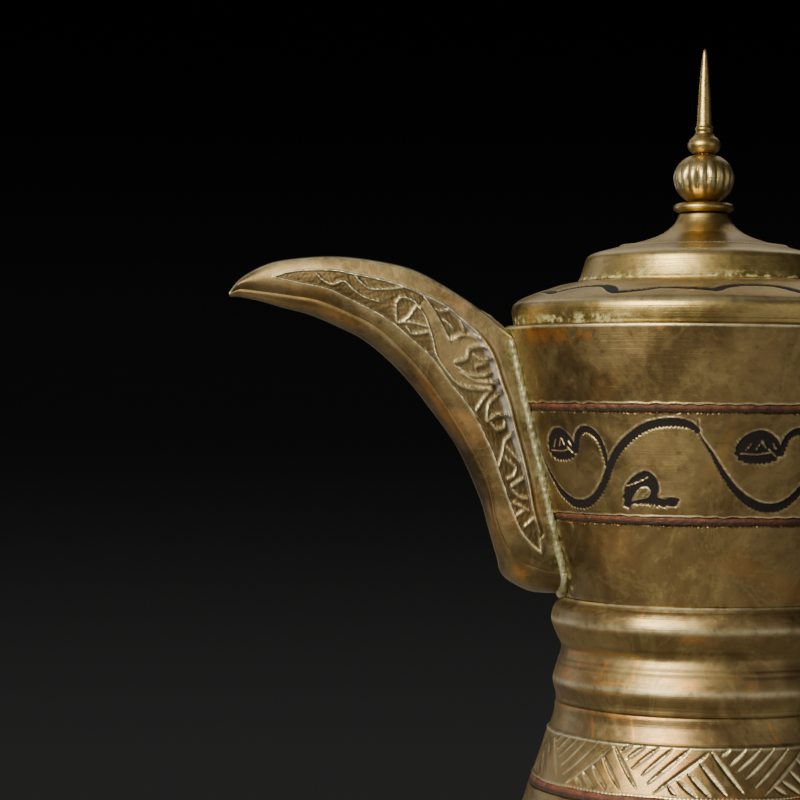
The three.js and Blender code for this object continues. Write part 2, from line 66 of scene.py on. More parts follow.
# The same line at even steps of its own length.
def evenLine(line, count):
    reach = lengthTo(line)
    marks = np.linspace(0, reach[-1], count)
    return np.stack([np.interp(marks, reach, line[:, i]) for i in range(line.shape[1])], 1)


# Values with a set step in each stretch, then thinned evenly to a count.
def denseSteps(stretches, count):
    rows = np.concatenate([np.arange(low, high, step) for low, high, step in stretches] + [[stretches[-1][1]]])
    return np.interp(np.linspace(0, len(rows) - 1, count), np.arange(len(rows)), rows)


# Radius of an outline, given as (radius, height) points going up, at any height.
def radiusOf(outline, height):
    return np.interp(height, outline[:, 1], outline[:, 0])


# 0 below the start, 1 above the end, 3t^2 - 2t^3 between.
def ease(start, end, value):
    t = np.clip((value - start) / (end - start), 0, 1)
    return t * t * (3 - 2 * t)


# A bell of height 1: e to the minus square of the distance over the width.
def bell(distance, width):
    return np.exp(-((distance / width) ** 2))


# Hand-made unevenness between about -1 and 1: a sum of sine waves of random direction and phase.
def wobble(u, v, wave, waves=9):
    total = np.zeros(np.broadcast(u, v).shape)
    turns, phases = dice.uniform(0, fullTurn, waves), dice.uniform(0, fullTurn, waves)
    for turn, phase, size in zip(turns, phases, dice.uniform(0.7, 1.6, waves)):
        total += np.sin((u * math.cos(turn) + v * math.sin(turn)) * fullTurn / (wave * size) + phase)
    return total / math.sqrt(waves)


# A saw between 0 and 1: 0 half way along each pitch and 1 at its ends.
def teeth(along, pitch, shift=0.0):
    return np.abs((along / pitch + shift) % 1 - 0.5) * 2


# Length of a line up to each of its points.
def lengthTo(line):
    return np.r_[0, np.cumsum(np.linalg.norm(np.diff(line, axis=0), axis=1))]


# Nearest place on a polyline for each point of a flat field: its distance, how far along the line it is, and the side
# (+1 left, -1 right).
def nearLine(u, v, line, reach=4.0):
    distance, along, side = np.full(u.shape, farAway), np.zeros(u.shape), np.ones(u.shape)
    low, high = line.min(0) - reach, line.max(0) + reach
    near = (u > low[0]) & (u < high[0]) & (v > low[1]) & (v < high[1])
    if not near.any():
        return distance, along, side
    pu, pv = u[near], v[near]
    best, bestAlong, bestSide = np.full(pu.shape, farAway), np.zeros(pu.shape), np.ones(pu.shape)
    start = 0.0
    for (au, av), (bu, bv) in zip(line[:-1], line[1:]):
        du, dv = bu - au, bv - av
        length = math.hypot(du, dv) + 1e-9
        share = np.clip(((pu - au) * du + (pv - av) * dv) / length**2, 0, 1)
        gap = np.hypot(pu - au - share * du, pv - av - share * dv)
        closer = gap < best
        best = np.where(closer, gap, best)
        bestAlong = np.where(closer, start + share * length, bestAlong)
        bestSide = np.where(closer, np.sign(du * (pv - av) - dv * (pu - au)), bestSide)
        start += length
    distance[near], along[near], side[near] = best, bestAlong, bestSide
    return distance, along, side


# Signed distance to a closed outline, negative inside: the sign comes from counting edges crossed by a level ray.
def nearOutline(u, v, loop, reach=4.0):
    closed = np.vstack([loop, loop[:1]])
    distance = nearLine(u, v, closed, reach)[0]
    inside = np.zeros(u.shape, bool)
    for (au, av), (bu, bv) in zip(closed[:-1], closed[1:]):
        if av != bv:
            inside ^= ((av > v) != (bv > v)) & (u < (bu - au) * (v - av) / (bv - av) + au)
    return np.where(inside, -distance, distance)


# meshes
# Quads of a grid numbered row by row; a wrapped direction joins its last line to its first.
def gridQuads(rows, columns, wrapRows=False, wrapColumns=False):
    r = np.arange(rows if wrapRows else rows - 1)[:, None]
    c = np.arange(columns if wrapColumns else columns - 1)[None, :]
    nextRow, nextColumn = (r + 1) % rows, (c + 1) % columns
    corners = (r * columns + c, r * columns + nextColumn, nextRow * columns + nextColumn, nextRow * columns + c)
    return np.stack(np.broadcast_arrays(*corners), -1).reshape(-1, 4)


# Six times the volume inside the faces: the sum over fans of a . (b x c). Below zero, the faces point inwards.
def sixVolumes(points, faces):
    total = 0.0
    for group in faces:
        for i in range(1, group.shape[1] - 1):
            a, b, c = points[group[:, 0]], points[group[:, i]], points[group[:, i + 1]]
            total += float(np.einsum("ij,ij->", a, np.cross(b, c)))
    return total


# A shell: dictionary of points (n, 3), faces (list of index arrays), uv (n, 2) and masks (name: n values).
def shell(points, faces, uv=None, masks=None):
    points = np.asarray(points, float)
    if sixVolumes(points - points.mean(0), faces) < 0:
        faces = [group[:, ::-1] for group in faces]
    uv = np.zeros((len(points), 2)) if uv is None else uv
    return {"points": points, "faces": faces, "uv": uv, "masks": masks or {}}


# Grid [stations, loop, 3] whose loop is closed. ends: "wrap" joins the last station to the first, "caps" closes each
# end with the given polygons of loop indices, "poles" draws each end station together into one point.
def tube(grid, ends="wrap", caps=None, uv=None, masks=None):
    stations, loop = grid.shape[:2]
    flat = grid.reshape(-1, 3)
    uv = np.zeros((stations, loop, 2)) if uv is None else uv
    masks = {name: np.broadcast_to(values, (stations, loop)) for name, values in (masks or {}).items()}
    faces = [gridQuads(stations, loop, ends == "wrap", True)]
    if ends == "caps":
        for polygon in caps or [np.arange(loop)]:
            faces.append(polygon[None, ::-1] if polygon.ndim == 1 else polygon[:, ::-1])
            faces.append((polygon[None] if polygon.ndim == 1 else polygon) + (stations - 1) * loop)
    if ends == "poles":
        middle = slice(loop - 1, (stations - 1) * loop + 1)
        index = np.clip(np.arange(stations * loop) - (loop - 1), 0, (stations - 2) * loop + 1)
        quads = index[faces[0]]
        faces = [quads[:loop][:, [0, 2, 3]], quads[loop:-loop], quads[-loop:][:, [0, 1, 3]]]
        flat = flat[middle].copy()
        flat[0], flat[-1] = grid[0].mean(0), grid[-1].mean(0)
        return shell(flat, faces, uv.reshape(-1, 2)[middle], {n: v.reshape(-1)[middle] for n, v in masks.items()})
    return shell(flat, faces, uv.reshape(-1, 2), {n: v.reshape(-1) for n, v in masks.items()})


# A sheet's section closed into a loop: outer lines, half-round lip, inner lines back, half-round lip.
# outer is [lines, stations, 3] and inner the same with fewer lines. Also gives the polygons that close an end.
def sheetGrid(outer, inner, lip=5, bulge=0.7):
    def rim(edge, before, other):
        middle, half = (edge + other) / 2, (edge - other) / 2
        way = edge - before
        way /= np.linalg.norm(way, axis=-1, keepdims=True) + 1e-12
        size = np.linalg.norm(half, axis=-1, keepdims=True) * bulge
        turn = (np.arange(1, lip + 1) * math.pi / (lip + 1))[:, None, None]
        return middle + np.cos(turn) * half + np.sin(turn) * size * way
    top = rim(outer[-1], outer[-2], inner[-1])
    foot = rim(outer[0], outer[1], inner[0])[::-1]
    grid = np.concatenate([outer, top, inner[::-1], foot]).transpose(1, 0, 2)
    lines, insideLines = len(outer), len(inner)
    skip = (lines - 1) // (insideLines - 1)
    block = np.arange(insideLines - 1)[:, None]
    innerAt = lines + lip + insideLines - 1 - block
    body = np.hstack([block * skip + np.arange(skip + 1)[None], innerAt - 1, innerAt])
    topLip = np.arange(lines - 1, lines + lip + 1)
    footLip = np.r_[np.arange(lines + lip + insideLines - 1, grid.shape[1]), 0]
    return grid, [body, topLip, footLip]


# Values known on a sheet's outer lines [lines, stations], carried onto its whole loop with a default elsewhere.
def onSheet(values, grid, default=0.0):
    filled = np.full(grid.shape[:2], default)
    filled[:, :values.shape[0]] = values.T
    return filled


def joined(*shells):
    names = {name for s in shells for name in s["masks"]}
    start = np.cumsum([0] + [len(s["points"]) for s in shells])
    faces = [group + first for s, first in zip(shells, start) for group in s["faces"]]
    masks = {n: np.concatenate([s["masks"].get(n, np.zeros(len(s["points"]))) for s in shells]) for n in names}
    return {
        "points": np.vstack([s["points"] for s in shells]), "faces": faces,
        "uv": np.vstack([s["uv"] for s in shells]), "masks": masks,
    }


# Puts a shell into a mesh object, in metres, smooth but for corners, riding on a body and standing for CAD nodes.
def makePiece(name, made, material, nodes, body="pot", corner=40):
    mesh = bpy.data.meshes.new(name)
    loops = np.concatenate([group.ravel() for group in made["faces"]]).astype(np.int32)
    sizes = np.concatenate([np.full(len(group), group.shape[1]) for group in made["faces"]])
    mesh.vertices.add(len(made["points"]))
    mesh.vertices.foreach_set("co", (made["points"] * millimetre).astype(np.float32).ravel())
    mesh.loops.add(len(loops))
    mesh.loops.foreach_set("vertex_index", loops)
    mesh.polygons.add(len(sizes))
    mesh.polygons.foreach_set("loop_start", (np.cumsum(sizes) - sizes).astype(np.int32))
    mesh.update(calc_edges=True)
    mesh.uv_layers.new(name="surface").data.foreach_set("uv", (made["uv"][loops]).astype(np.float32).ravel())
    for mask, values in made["masks"].items():
        mesh.attributes.new(mask, "FLOAT", "POINT").data.foreach_set("value", values.astype(np.float32))
    mesh.validate()
    mesh.polygons.foreach_set("use_smooth", np.ones(len(mesh.polygons), bool))
    mesh.set_sharp_from_angle(angle=math.radians(corner))
    mesh.materials.append(material)
    piece = bpy.data.objects.new(name, mesh)
    bpy.context.scene.collection.objects.link(piece)
    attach(piece, body)
    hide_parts(*nodes)
    return piece


# Points of a line (radius, height) spun to angles in degrees: (r sin a, -r cos a, z), as [lines, stations, 3].
def spin(radius, height, degrees):
    turn = np.radians(degrees)
    radius, height, turn = np.broadcast_arrays(radius, height, turn)
    return np.stack([radius * np.sin(turn), -radius * np.cos(turn), height], -1)


# Wrapped uv of a spun grid, in metres: mean radius x angle along one way, height along the other.
def wrapped(degrees, radius, height):
    around = np.broadcast_to(np.radians(degrees) * radius.mean() * millimetre, height.shape)
    return np.stack([around, height * millimetre], -1)


# Outward direction of an outline going up, as (radius part, height part).
def outward(outline):
    way = np.gradient(outline, axis=0)
    way /= np.linalg.norm(way, axis=1, keepdims=True)
    return np.stack([way[:, 1], -way[:, 0]], 1)


# A spun sheet: each point of the outline moves out along its normal by lift, the inside stays smooth.
def spunSheet(outline, degrees, thick, lift, skip=6, masks=None):
    normal = outward(outline)
    radius = outline[:, :1] + normal[:, :1] * lift
    height = outline[:, 1:] + normal[:, 1:] * lift
    turned = np.broadcast_to(degrees, radius.shape)
    outer = spin(radius, height, turned)
    within = (outline - thick * normal)[::skip]
    inner = spin(within[:, :1], within[:, 1:], turned[::skip])
    grid, caps = sheetGrid(outer, inner)
    uv = wrapped(onSheet(turned, grid), outline[:, 0], grid[..., 2])
    return grid, caps, uv, {name: onSheet(values, grid) for name, values in (masks or {}).items()}


# A closed outline spun all the way round; lift moves its points away from the outline's own middle.
def ringPiece(outline, columns=240, lift=0.0, masks=None):
    outline = np.asarray(outline, float)
    degrees = np.linspace(-180, 180, columns, endpoint=False)
    centre = outline.mean(0)
    way = (outline - centre) / (np.linalg.norm(outline - centre, axis=1, keepdims=True) + 1e-9)
    lift = np.broadcast_to(lift, (len(outline), columns))
    grid = spin(outline[:, :1] + way[:, :1] * lift, outline[:, 1:] + way[:, 1:] * lift, degrees[None, :])
    grid = grid.transpose(1, 0, 2)
    uv = wrapped(degrees[:, None], outline[:, 0], grid[..., 2])
    return tube(grid, "wrap", uv=uv, masks={n: v.T for n, v in (masks or {}).items()})


# An outline that starts and ends on the axis, spun into a closed solid.
def spunSolid(outline, columns=96, lift=0.0, masks=None):
    outline = np.asarray(outline, float)
    degrees = np.linspace(-180, 180, columns, endpoint=False)
    normal = outward(outline)
    grid = spin(outline[:, :1] + normal[:, :1] * lift, outline[:, 1:] + normal[:, 1:] * lift, degrees[None, :])
    return tube(grid, "poles", uv=wrapped(degrees[None, :], outline[:, 0], grid[..., 2]), masks=masks)


# outlines of the pot, (radius, height)
pot = {
    "wall": 1.4,
    "lidWall": 1.2,
    "belly": [
        (58.4, 2.1), (61.8, 12), (63, 27), (61, 43), (57, 57), (53.9, 66), (52.5, 71), (51.2, 74.6), (48.8, 81.6),
        (46.6, 88), (44, 96.5),
    ],
    "collar": [
        (43.9, 96.8), (44.1, 98.8), (45, 103.1), (43.6, 108.7), (42.5, 112.9), (43.8, 116.1), (45.6, 121.2),
        (44.9, 125), (42.6, 128.4),
    ],
    "neckFoot": (42.5, 128.7),
    "rim": (61, 210.9),
}
bellyLine = softCurve(pot["belly"], 16)
collarLine = softCurve(pot["collar"], 12)
neckLine = np.array([pot["neckFoot"], pot["rim"]])
skinLine = np.vstack([bellyLine, collarLine, neckLine, [[61.9, 216]]])
coneShare = 0.2195  # sine of the neck's half angle


# The neck's cone rolled out flat: with rho = radius / share and phi = angle x share, (rho sin phi, rho cos phi).
def coneFlat(degrees, height):
    rho = radiusOf(neckLine, height) / coneShare
    phi = np.radians(degrees) * coneShare
    return rho * np.sin(phi), rho * np.cos(phi)


# materials
def put(tree, kind, inputs=None, **settings):
    node = tree.nodes.new("ShaderNode" + kind)
    for key, value in settings.items():
        setattr(node, key, value)
    for key, value in (inputs or {}).items():
        if isinstance(value, bpy.types.NodeSocket):
            tree.links.new(value, node.inputs[key])
        else:
            node.inputs[key].default_value = value
    return node


def newMaterial(name):
    material = bpy.data.materials.new(name)
    material.use_nodes = True
    material.node_tree.nodes.clear()
    return material, material.node_tree


def cloudNoise(tree, place, scale, detail=4.0, rough=0.55, distortion=0.0):
    inputs = {"Vector": place, "Scale": scale, "Detail": detail, "Roughness": rough, "Distortion": distortion}
    return put(tree, "TexNoise", inputs).outputs["Fac"]


def stretched(tree, place, scale):
    return put(tree, "Mapping", {"Vector": place, "Scale": scale}).outputs["Vector"]


def between(tree, value, low, high, start=0.0, end=1.0):
    inputs = {"Value": value, "From Min": low, "From Max": high, "To Min": start, "To Max": end}
    return put(tree, "MapRange", inputs, interpolation_type="SMOOTHSTEP").outputs["Result"]


def sums(tree, operation, a, b):
    return put(tree, "Math", {0: a, 1: b}, operation=operation, use_clamp=False).outputs[0]


def blended(tree, share, a, b, way="MIX"):
    node = put(tree, "Mix", {"Factor": share}, data_type="RGBA", blend_type=way)
    for socket, value in zip([s for s in node.inputs if s.name in ("A", "B") and s.type == "RGBA"], (a, b)):
        if isinstance(value, bpy.types.NodeSocket):
            tree.links.new(value, socket)
        else:
            socket.default_value = (*value, 1)
    return [s for s in node.outputs if s.type == "RGBA"][0]


def mask(tree, name):
    return put(tree, "Attribute", attribute_name=name, attribute_type="GEOMETRY").outputs["Fac"]


def times(tree, a, b):
    return sums(tree, "MULTIPLY", a, b)


def plus(tree, a, b):
    return sums(tree, "ADD", a, b)


# how the patina of every brass breaks up: scales per metre, and noise levels where a tone starts and is full
patina = {
    "clouds": (0.38, 0.66), "streaks": (0.48, 0.72), "paleFlecks": (0.56, 0.74), "darkFlecks": (0.44, 0.3),
    "darkFleckShare": 0.55, "grainScale": 2600,
    "tideScale": 30, "tideLevel": 0.53, "tideWidth": (0.035, 0.002),
    "warmScale": 26, "warm": (0.56, 0.68), "copper": (0.28, 0.46), "worn": (0.25, 0.55), "wornLeast": 0.45,
    "soot": (0.2, 0.6), "grimeShadeLeast": 0.75, "grey": (0.3, 0.6), "greyLeast": 0.6,
    "bloomScale": 420, "bloom": (0.42, 0.62), "inlayEdge": (0.05, 0.2),
    "bloomMatt": 0.85, "mattRough": 0.22, "grimeShadeRough": 0.18, "mattMetallic": 0.12,
    "dentScale": 75, "dentDeep": 0.002, "markDeep": 0.00025,
}


# Aged brass: three tones mixed by clouds, flecks and streaks, paler where chasing or handling wore it and by painted
# highlights (wear mask), darker by grime and painted shade (dark mask), with pale bloom (mask bloom), warm copper
# patches and painted window reflections (copper mask) and, where asked, black inlay.
def brass(name, look):
    material, tree = newMaterial(name)
    place = put(tree, "TexCoord").outputs["Object"]
    wrap = put(tree, "UVMap", uv_map="surface").outputs["UV"]
    clouds = cloudNoise(tree, place, look["clouds"], 6, 0.62, 0.6)
    flecks = cloudNoise(tree, place, look["flecks"], 4, 0.7)
    grain = cloudNoise(tree, place, patina["grainScale"], 2, 0.6)
    alongStreak = cloudNoise(tree, stretched(tree, wrap, look["streak"]), 1.0, 4, 0.6)
    turning = cloudNoise(tree, stretched(tree, wrap, look["turning"]), 1.0, 3, 0.7)
    tone = blended(tree, between(tree, clouds, *patina["clouds"]), look["dark"], look["middle"])
    tone = blended(tree, between(tree, alongStreak, *patina["streaks"], 0, look["streakShare"]), tone, look["pale"])
    tone = blended(tree, between(tree, flecks, *patina["paleFlecks"], 0, look["fleckShare"]), tone, look["pale"])
    darkFlecks = between(tree, flecks, *patina["darkFlecks"], 0, patina["darkFleckShare"])
    tone = blended(tree, darkFlecks, tone, look["dark"])
    tideCloud = cloudNoise(tree, place, patina["tideScale"], 5, 0.7, 0.8)
    tide = sums(tree, "ABSOLUTE", sums(tree, "SUBTRACT", tideCloud, patina["tideLevel"]), 0)
    tone = blended(tree, between(tree, tide, *patina["tideWidth"], 0, look["tideShare"]), tone, look["pale"])
    warmCloud = between(tree, cloudNoise(tree, place, patina["warmScale"], 3, 0.5, 1.2), *patina["warm"])
    tone = blended(tree, times(tree, warmCloud, look["warmShare"]), tone, look["warm"])
    # warm copper patches, and the painted window reflections on belly and collar
    copper = times(tree, mask(tree, "copper"), between(tree, flecks, *patina["copper"]))
    tone = blended(tree, copper, tone, look["warm"])
    # paler by wear and, on cut facets and on the lips above bands and ridges, by painted highlight
    worn = times(tree, mask(tree, "worn"), between(tree, flecks, *patina["worn"], patina["wornLeast"], 1.0))
    tone = blended(tree, worn, tone, look["bright"])
    # near-black laid on by the dark mask: painted shade in recesses, creases and under faces that look down, and grime
    soot = times(tree, mask(tree, "soot"), between(tree, clouds, *patina["soot"], 1.0, patina["grimeShadeLeast"]))
    tone = blended(tree, soot, tone, look["grimeShadeDark"])
    grey = times(tree, mask(tree, "grey"), between(tree, flecks, *patina["grey"], patina["greyLeast"], 1.0))
    tone = blended(tree, grey, tone, look["grey"])
    bloomSpots = between(tree, cloudNoise(tree, place, patina["bloomScale"], 5, 0.7), *patina["bloom"])
    bloom = times(tree, mask(tree, "bloom"), bloomSpots)
    tone = blended(tree, bloom, tone, look["bloom"])
    raggedInlay = plus(tree, mask(tree, "inlay"), between(tree, grain, 0.3, 0.7, -0.05, 0.05))
    black = between(tree, raggedInlay, *patina["inlayEdge"])
    tone = blended(tree, black, tone, look["inlay"])
    matt = sums(tree, "MAXIMUM", black, times(tree, bloom, patina["bloomMatt"]))
    metallic = between(tree, matt, 0.0, 1.0, 1.0, patina["mattMetallic"])
    gloss = between(tree, plus(tree, clouds, times(tree, flecks, 0.6)), 0.5, 1.1, *look["roughness"])
    rough = plus(tree, gloss, times(tree, matt, patina["mattRough"]))
    rough = plus(tree, rough, times(tree, soot, patina["grimeShadeRough"]))
    marks = plus(tree, times(tree, turning, look["turningDeep"]), times(tree, flecks, 0.5))
    marks = plus(tree, marks, times(tree, grain, look["grainDeep"]))
    dents = {
        "Height": cloudNoise(tree, place, patina["dentScale"], 2, 0.5),
        "Strength": look["dents"], "Distance": patina["dentDeep"],
    }
    soft = put(tree, "Bump", dents).outputs["Normal"]
    bump = {"Height": marks, "Strength": look["bump"], "Distance": patina["markDeep"], "Normal": soft}
    normal = put(tree, "Bump", bump)
    surface = put(tree, "BsdfPrincipled", {
        "Base Color": tone, "Metallic": metallic, "Roughness": rough, "Normal": normal.outputs["Normal"],
        "Specular IOR Level": 0.2,
    })
    put(tree, "OutputMaterial", {"Surface": surface.outputs["BSDF"]})
    return material


# Rough filling or solder: two tones by clouds, flecks, and a lumpy bump.
def crust(name, look):
    material, tree = newMaterial(name)
    place = put(tree, "TexCoord").outputs["Object"]
    clouds = cloudNoise(tree, place, look["clouds"], 5, 0.65, 0.5)
    flecks = cloudNoise(tree, place, look["flecks"], 3, 0.7)
    tone = blended(tree, between(tree, clouds, 0.35, 0.65), look["dark"], look["middle"])
    tone = blended(tree, between(tree, flecks, 0.50, 0.75, 0, 0.6), tone, look["pale"])
    # darker where the dark mask asks: low in the red filling, and grime on the solder
    tone = blended(tree, mask(tree, "soot"), tone, look["grimeShadeDark"])
    rough = between(tree, flecks, 0.3, 0.7, *look["roughness"])
    height = plus(tree, clouds, times(tree, flecks, 0.5))
    normal = put(tree, "Bump", {"Height": height, "Strength": look["bump"], "Distance": 0.0004})
    surface = put(tree, "BsdfPrincipled", {
        "Base Color": tone, "Metallic": look["metallic"], "Roughness": rough, "Normal": normal.outputs["Normal"],
    })
    put(tree, "OutputMaterial", {"Surface": surface.outputs["BSDF"]})
    return material


# tones: bright for wear and painted highlights, the near-black one for grime and painted shade
potLook = {
    "dark": (0.20, 0.130, 0.058), "middle": (0.33, 0.230, 0.104), "pale": (0.47, 0.37, 0.155),
    "bright": (0.98, 0.87, 0.56), "warm": (0.57, 0.25, 0.062), "grimeShadeDark": (0.030, 0.018, 0.007),
    "bloom": (0.42, 0.42, 0.17), "inlay": (0.010, 0.007, 0.008), "grey": (0.25, 0.235, 0.25),
    "clouds": 34, "flecks": 330, "streak": (110, 14, 1), "turning": (20, 2400, 1),
    "streakShare": 0.24, "fleckShare": 0.35, "warmShare": 0.20, "tideShare": 0.22,
    "roughness": (0.31, 0.49), "turningDeep": 0.7, "grainDeep": 0.25, "dents": 0.12, "bump": 0.35,
}
potBrass = brass("agedPotBrass", potLook)
beakBrass = brass("chasedBeakBrass", {
    **potLook, "dark": (0.105, 0.071, 0.032), "middle": (0.20, 0.142, 0.072), "pale": (0.31, 0.237, 0.128),
    "streak": (60, 60, 1), "turning": (300, 300, 1), "warmShare": 0.14, "roughness": (0.38, 0.54),
})
lidBrass = brass("paleLidBrass", {
    **potLook, "dark": (0.35, 0.235, 0.082), "middle": (0.50, 0.360, 0.135), "pale": (0.64, 0.49, 0.21),
    "streak": (30, 160, 1), "warmShare": 0.12, "roughness": (0.28, 0.42), "bloom": (0.48, 0.49, 0.24),
})
castBrass = brass("castHandleBrass", {
    **potLook, "dark": (0.19, 0.13, 0.04), "middle": (0.35, 0.26, 0.09), "flecks": 420, "streakShare": 0.2,
    "streak": (60, 60, 1), "turning": (500, 500, 1), "roughness": (0.30, 0.50), "dents": 0.2, "bump": 0.5,
})
redFilling = crust("redFilling", {
    "dark": (0.055, 0.016, 0.007), "middle": (0.14, 0.040, 0.016), "pale": (0.27, 0.12, 0.055),
    "grimeShadeDark": (0.008, 0.005, 0.004),
    "clouds": 160, "flecks": 900, "metallic": 0.15, "roughness": (0.5, 0.8), "bump": 0.8,
})
greySolder = crust("greySolder", {
    "dark": (0.22, 0.20, 0.10), "middle": (0.38, 0.36, 0.22), "pale": (0.56, 0.55, 0.41),
    "grimeShadeDark": (0.11, 0.085, 0.04),
    "clouds": 210, "flecks": 900, "metallic": 0.6, "roughness": (0.35, 0.6), "bump": 0.45,
})
print("materials made")


# neck: cone with two red bands, and between them a vine of black inlay
vine = {
    "main": [
        (-77.9, 183.1), (-77.4, 178.9), (-73.8, 173.8), (-69.4, 167.3), (-65.5, 163), (-61.3, 160), (-56.4, 158.1),
        (-51.5, 157.9), (-47.4, 159.1), (-43.7, 161.6), (-40.1, 165.7), (-37.6, 169.8), (-35, 173.2), (-31.7, 176.3),
        (-28.4, 178.7), (-24.8, 180.7), (-21.1, 181.9), (-17.4, 182.4), (-13.5, 182.4), (-10.2, 181.6), (-8, 180),
    ],
    "mainHalf": [
        0.15, 0.25, 0.55, 0.9, 1.1, 1.3, 1.4, 1.4, 1.35, 1.25, 1.2, 1.2, 1.25, 1.3, 1.3, 1.3, 1.3, 1.3, 1.3, 1.1, 0.8,
    ],
    "tendril": [
        (-38.9, 169.8), (-39.3, 173.1), (-40.2, 175.8), (-41.6, 178.1), (-43.6, 179.6), (-45.8, 180.1),
        (-47.9, 179.5), (-49.7, 178), (-50.6, 175.6), (-51.2, 173.9),
    ],
    "tendrilHalf": [0.6, 0.8, 0.9, 1.0, 1.1, 1.15, 1.15, 1.1, 1.1, 1.0],
    "bud": [
        (-66.7, 174.6), (-65.2, 177.4), (-62.2, 179.6), (-59.2, 180.4), (-56.2, 180), (-53, 178), (-51.2, 175.4),
        (-51.6, 172.8), (-53.8, 171.2), (-58, 170.6), (-62.4, 170.8), (-65.6, 172.2),
    ],
    "comma": [
        (-33.8, 157.8), (-33.9, 160.6), (-32.9, 163.4), (-30.8, 165.7), (-27.6, 167.7), (-24.8, 168.3),
        (-22.6, 167.2), (-21.1, 165), (-20.8, 162.6), (-21.6, 161), (-19.6, 160.4), (-16.6, 160.6), (-14.4, 160.2),
        (-14.6, 158.6),
        (-17.6, 157.9), (-21.4, 158.0), (-26, 158.5), (-30, 158.3), (-32.4, 156.9),
    ],
    "commaHole": [
        (-31, 159.3), (-29.4, 161.4), (-27.4, 163.2), (-25, 163.6), (-23.8, 162.2), (-25, 160.6), (-27.6, 160),
    ],
    "scratches": [
        [(-64.8, 173.6), (-59, 173.4), (-54.3, 174.1)], [(-62.9, 174.6), (-61.1, 176.8)],
        [(-59.6, 174.9), (-58, 177.3)], [(-57.7, 177.2), (-56.5, 175.2)], [(-55.3, 174.8), (-52.9, 172.9)],
        [(-54.3, 176.6), (-53.2, 175.1)], [(-32.2, 163.7), (-28.8, 164.6), (-24.5, 166.3)],
        [(-30.2, 159.4), (-27.4, 162.6)], [(-26.8, 160.9), (-24.6, 162.4)],
    ],
    "turns": (0, 70),  # the unit comes again this many degrees further on
    "teethPitch": 1.25,
    "teeth": 0.42,
    "scratchHalf": 0.14,
    "deep": 0.34,
    "lip": 0.10,
    "lipOut": 0.28,  # how far outside the black the lip stands
    "lipWidth": 0.26,
}
neck = {
    "frontColumns": (270, 130),  # to the left and right of the middle of the front
    "rows": [
        (128.75, 150.6, 1.05), (150.6, 156.8, 0.26), (156.8, 184.4, 0.37), (184.4, 189.6, 0.26), (189.6, 210.4, 1.0),
    ],
    "rowCount": 187,
    "bands": (153.7, 186.5),
    "bandHalf": 1.12,
    "bandDeep": 0.8,
    "port": {"bottom": 142, "shoulder": 185, "top": 201, "half": 9.6},
    "midRadius": 52,
    "rings": (130.6, 131.9, 134.5, 139),  # heights of the fine turned lines
    "dent": [(-59.9, 152.6), (-59.2, 150.8)],
    "greyRun": [(-75.5, 184), (-70, 166)],  # solder that ran on beside the beak
    "beakHalf": 14.2,
    "copper": {"height": 208.0, "tall": 2.4, "turn": -55, "wide": 11},
}


# Half the port's width at a height: two bowed ends, each a curve from the side to the middle, and straight sides.
def portHalf(height):
    port = neck["port"]
    t = np.linspace(0, 1, 40)
    foot = np.stack([port["bottom"] + port["half"] * t**2, port["half"] * (1 - (1 - t) ** 2)])
    head = np.stack([port["shoulder"] * (1 - t) ** 2 + 2 * (port["top"] - 5) * t * (1 - t) + port["top"] * t**2,
                     port["half"] * (1 - t**2)])
    heights = np.r_[foot[0], head[0]]
    return np.interp(height, heights, np.r_[foot[1], head[1]], left=0, right=0)


# Points (degrees, height) on the neck's flat cone, turned on by some degrees.
def onCone(points, turn=0):
    points = np.array(points, float)
    return np.stack(coneFlat(points[:, 0] + turn, points[:, 1]), 1)


# Inlay field: how far inside the black each point lies (negative outside), with teeth on one edge of each stroke,
# and how strongly the chasing tool left a bright lip. A stroke is width - distance; a closed outline is minus its distance.
def vineField(degrees, height):
    u, v = coneFlat(degrees, height)
    inside, bright = np.full(u.shape, -9.0), np.zeros(u.shape)
    out, soft = vine["lipOut"], vine["lipWidth"]
    for turn in vine["turns"]:
        for stroke, half in (("main", "mainHalf"), ("tendril", "tendrilHalf")):
            line = softCurve(np.column_stack([onCone(vine[stroke], turn), vine[half]]), 5)
            distance, along, side = nearLine(u, v, line[:, :2])
            width = np.interp(along, lengthTo(line[:, :2]), line[:, 2])
            tooth = teeth(along, vine["teethPitch"])
            toothed = (side < 0) if stroke == "main" else (side > 0)
            width = width + np.where(toothed, vine["teeth"] * (tooth - 0.35) * np.minimum(width, 1), 0)
            inside = np.maximum(inside, width - distance)
            bright = np.maximum(bright, bell(distance - width - out, soft) * np.where(toothed, 0.35 * tooth, 1))
        for outline in ("bud", "comma"):
            loop = softLoop(onCone(vine[outline], turn), 6)
            signed = nearOutline(u, v, loop)
            low = ease(1.5, -1.5, v - loop[:, 1].mean())
            around = np.arctan2(u - loop[:, 0].mean(), v - loop[:, 1].mean())
            signed = signed + low * 0.3 * np.sin(around * 22)
            inside = np.maximum(inside, -signed)
            bright = np.maximum(bright, bell(signed - out, soft) * (1 - 0.6 * low))
        hole = nearOutline(u, v, softLoop(onCone(vine["commaHole"], turn), 5))
        inside = np.minimum(inside, hole + 0.05)
        bright = np.maximum(bright, bell(hole, 0.3))
        for scratch in vine["scratches"]:
            near = nearLine(u, v, softCurve(onCone(scratch, turn), 4))[0]
            inside = np.minimum(inside, near - vine["scratchHalf"])
            bright = np.maximum(bright, 0.8 * bell(near, 0.2))
    broken = ease(-1.1, 0.5, wobble(u, v, 2.6))
    return inside + 0.07 * wobble(u, v, 1.6), bright * (0.3 + 0.7 * broken)


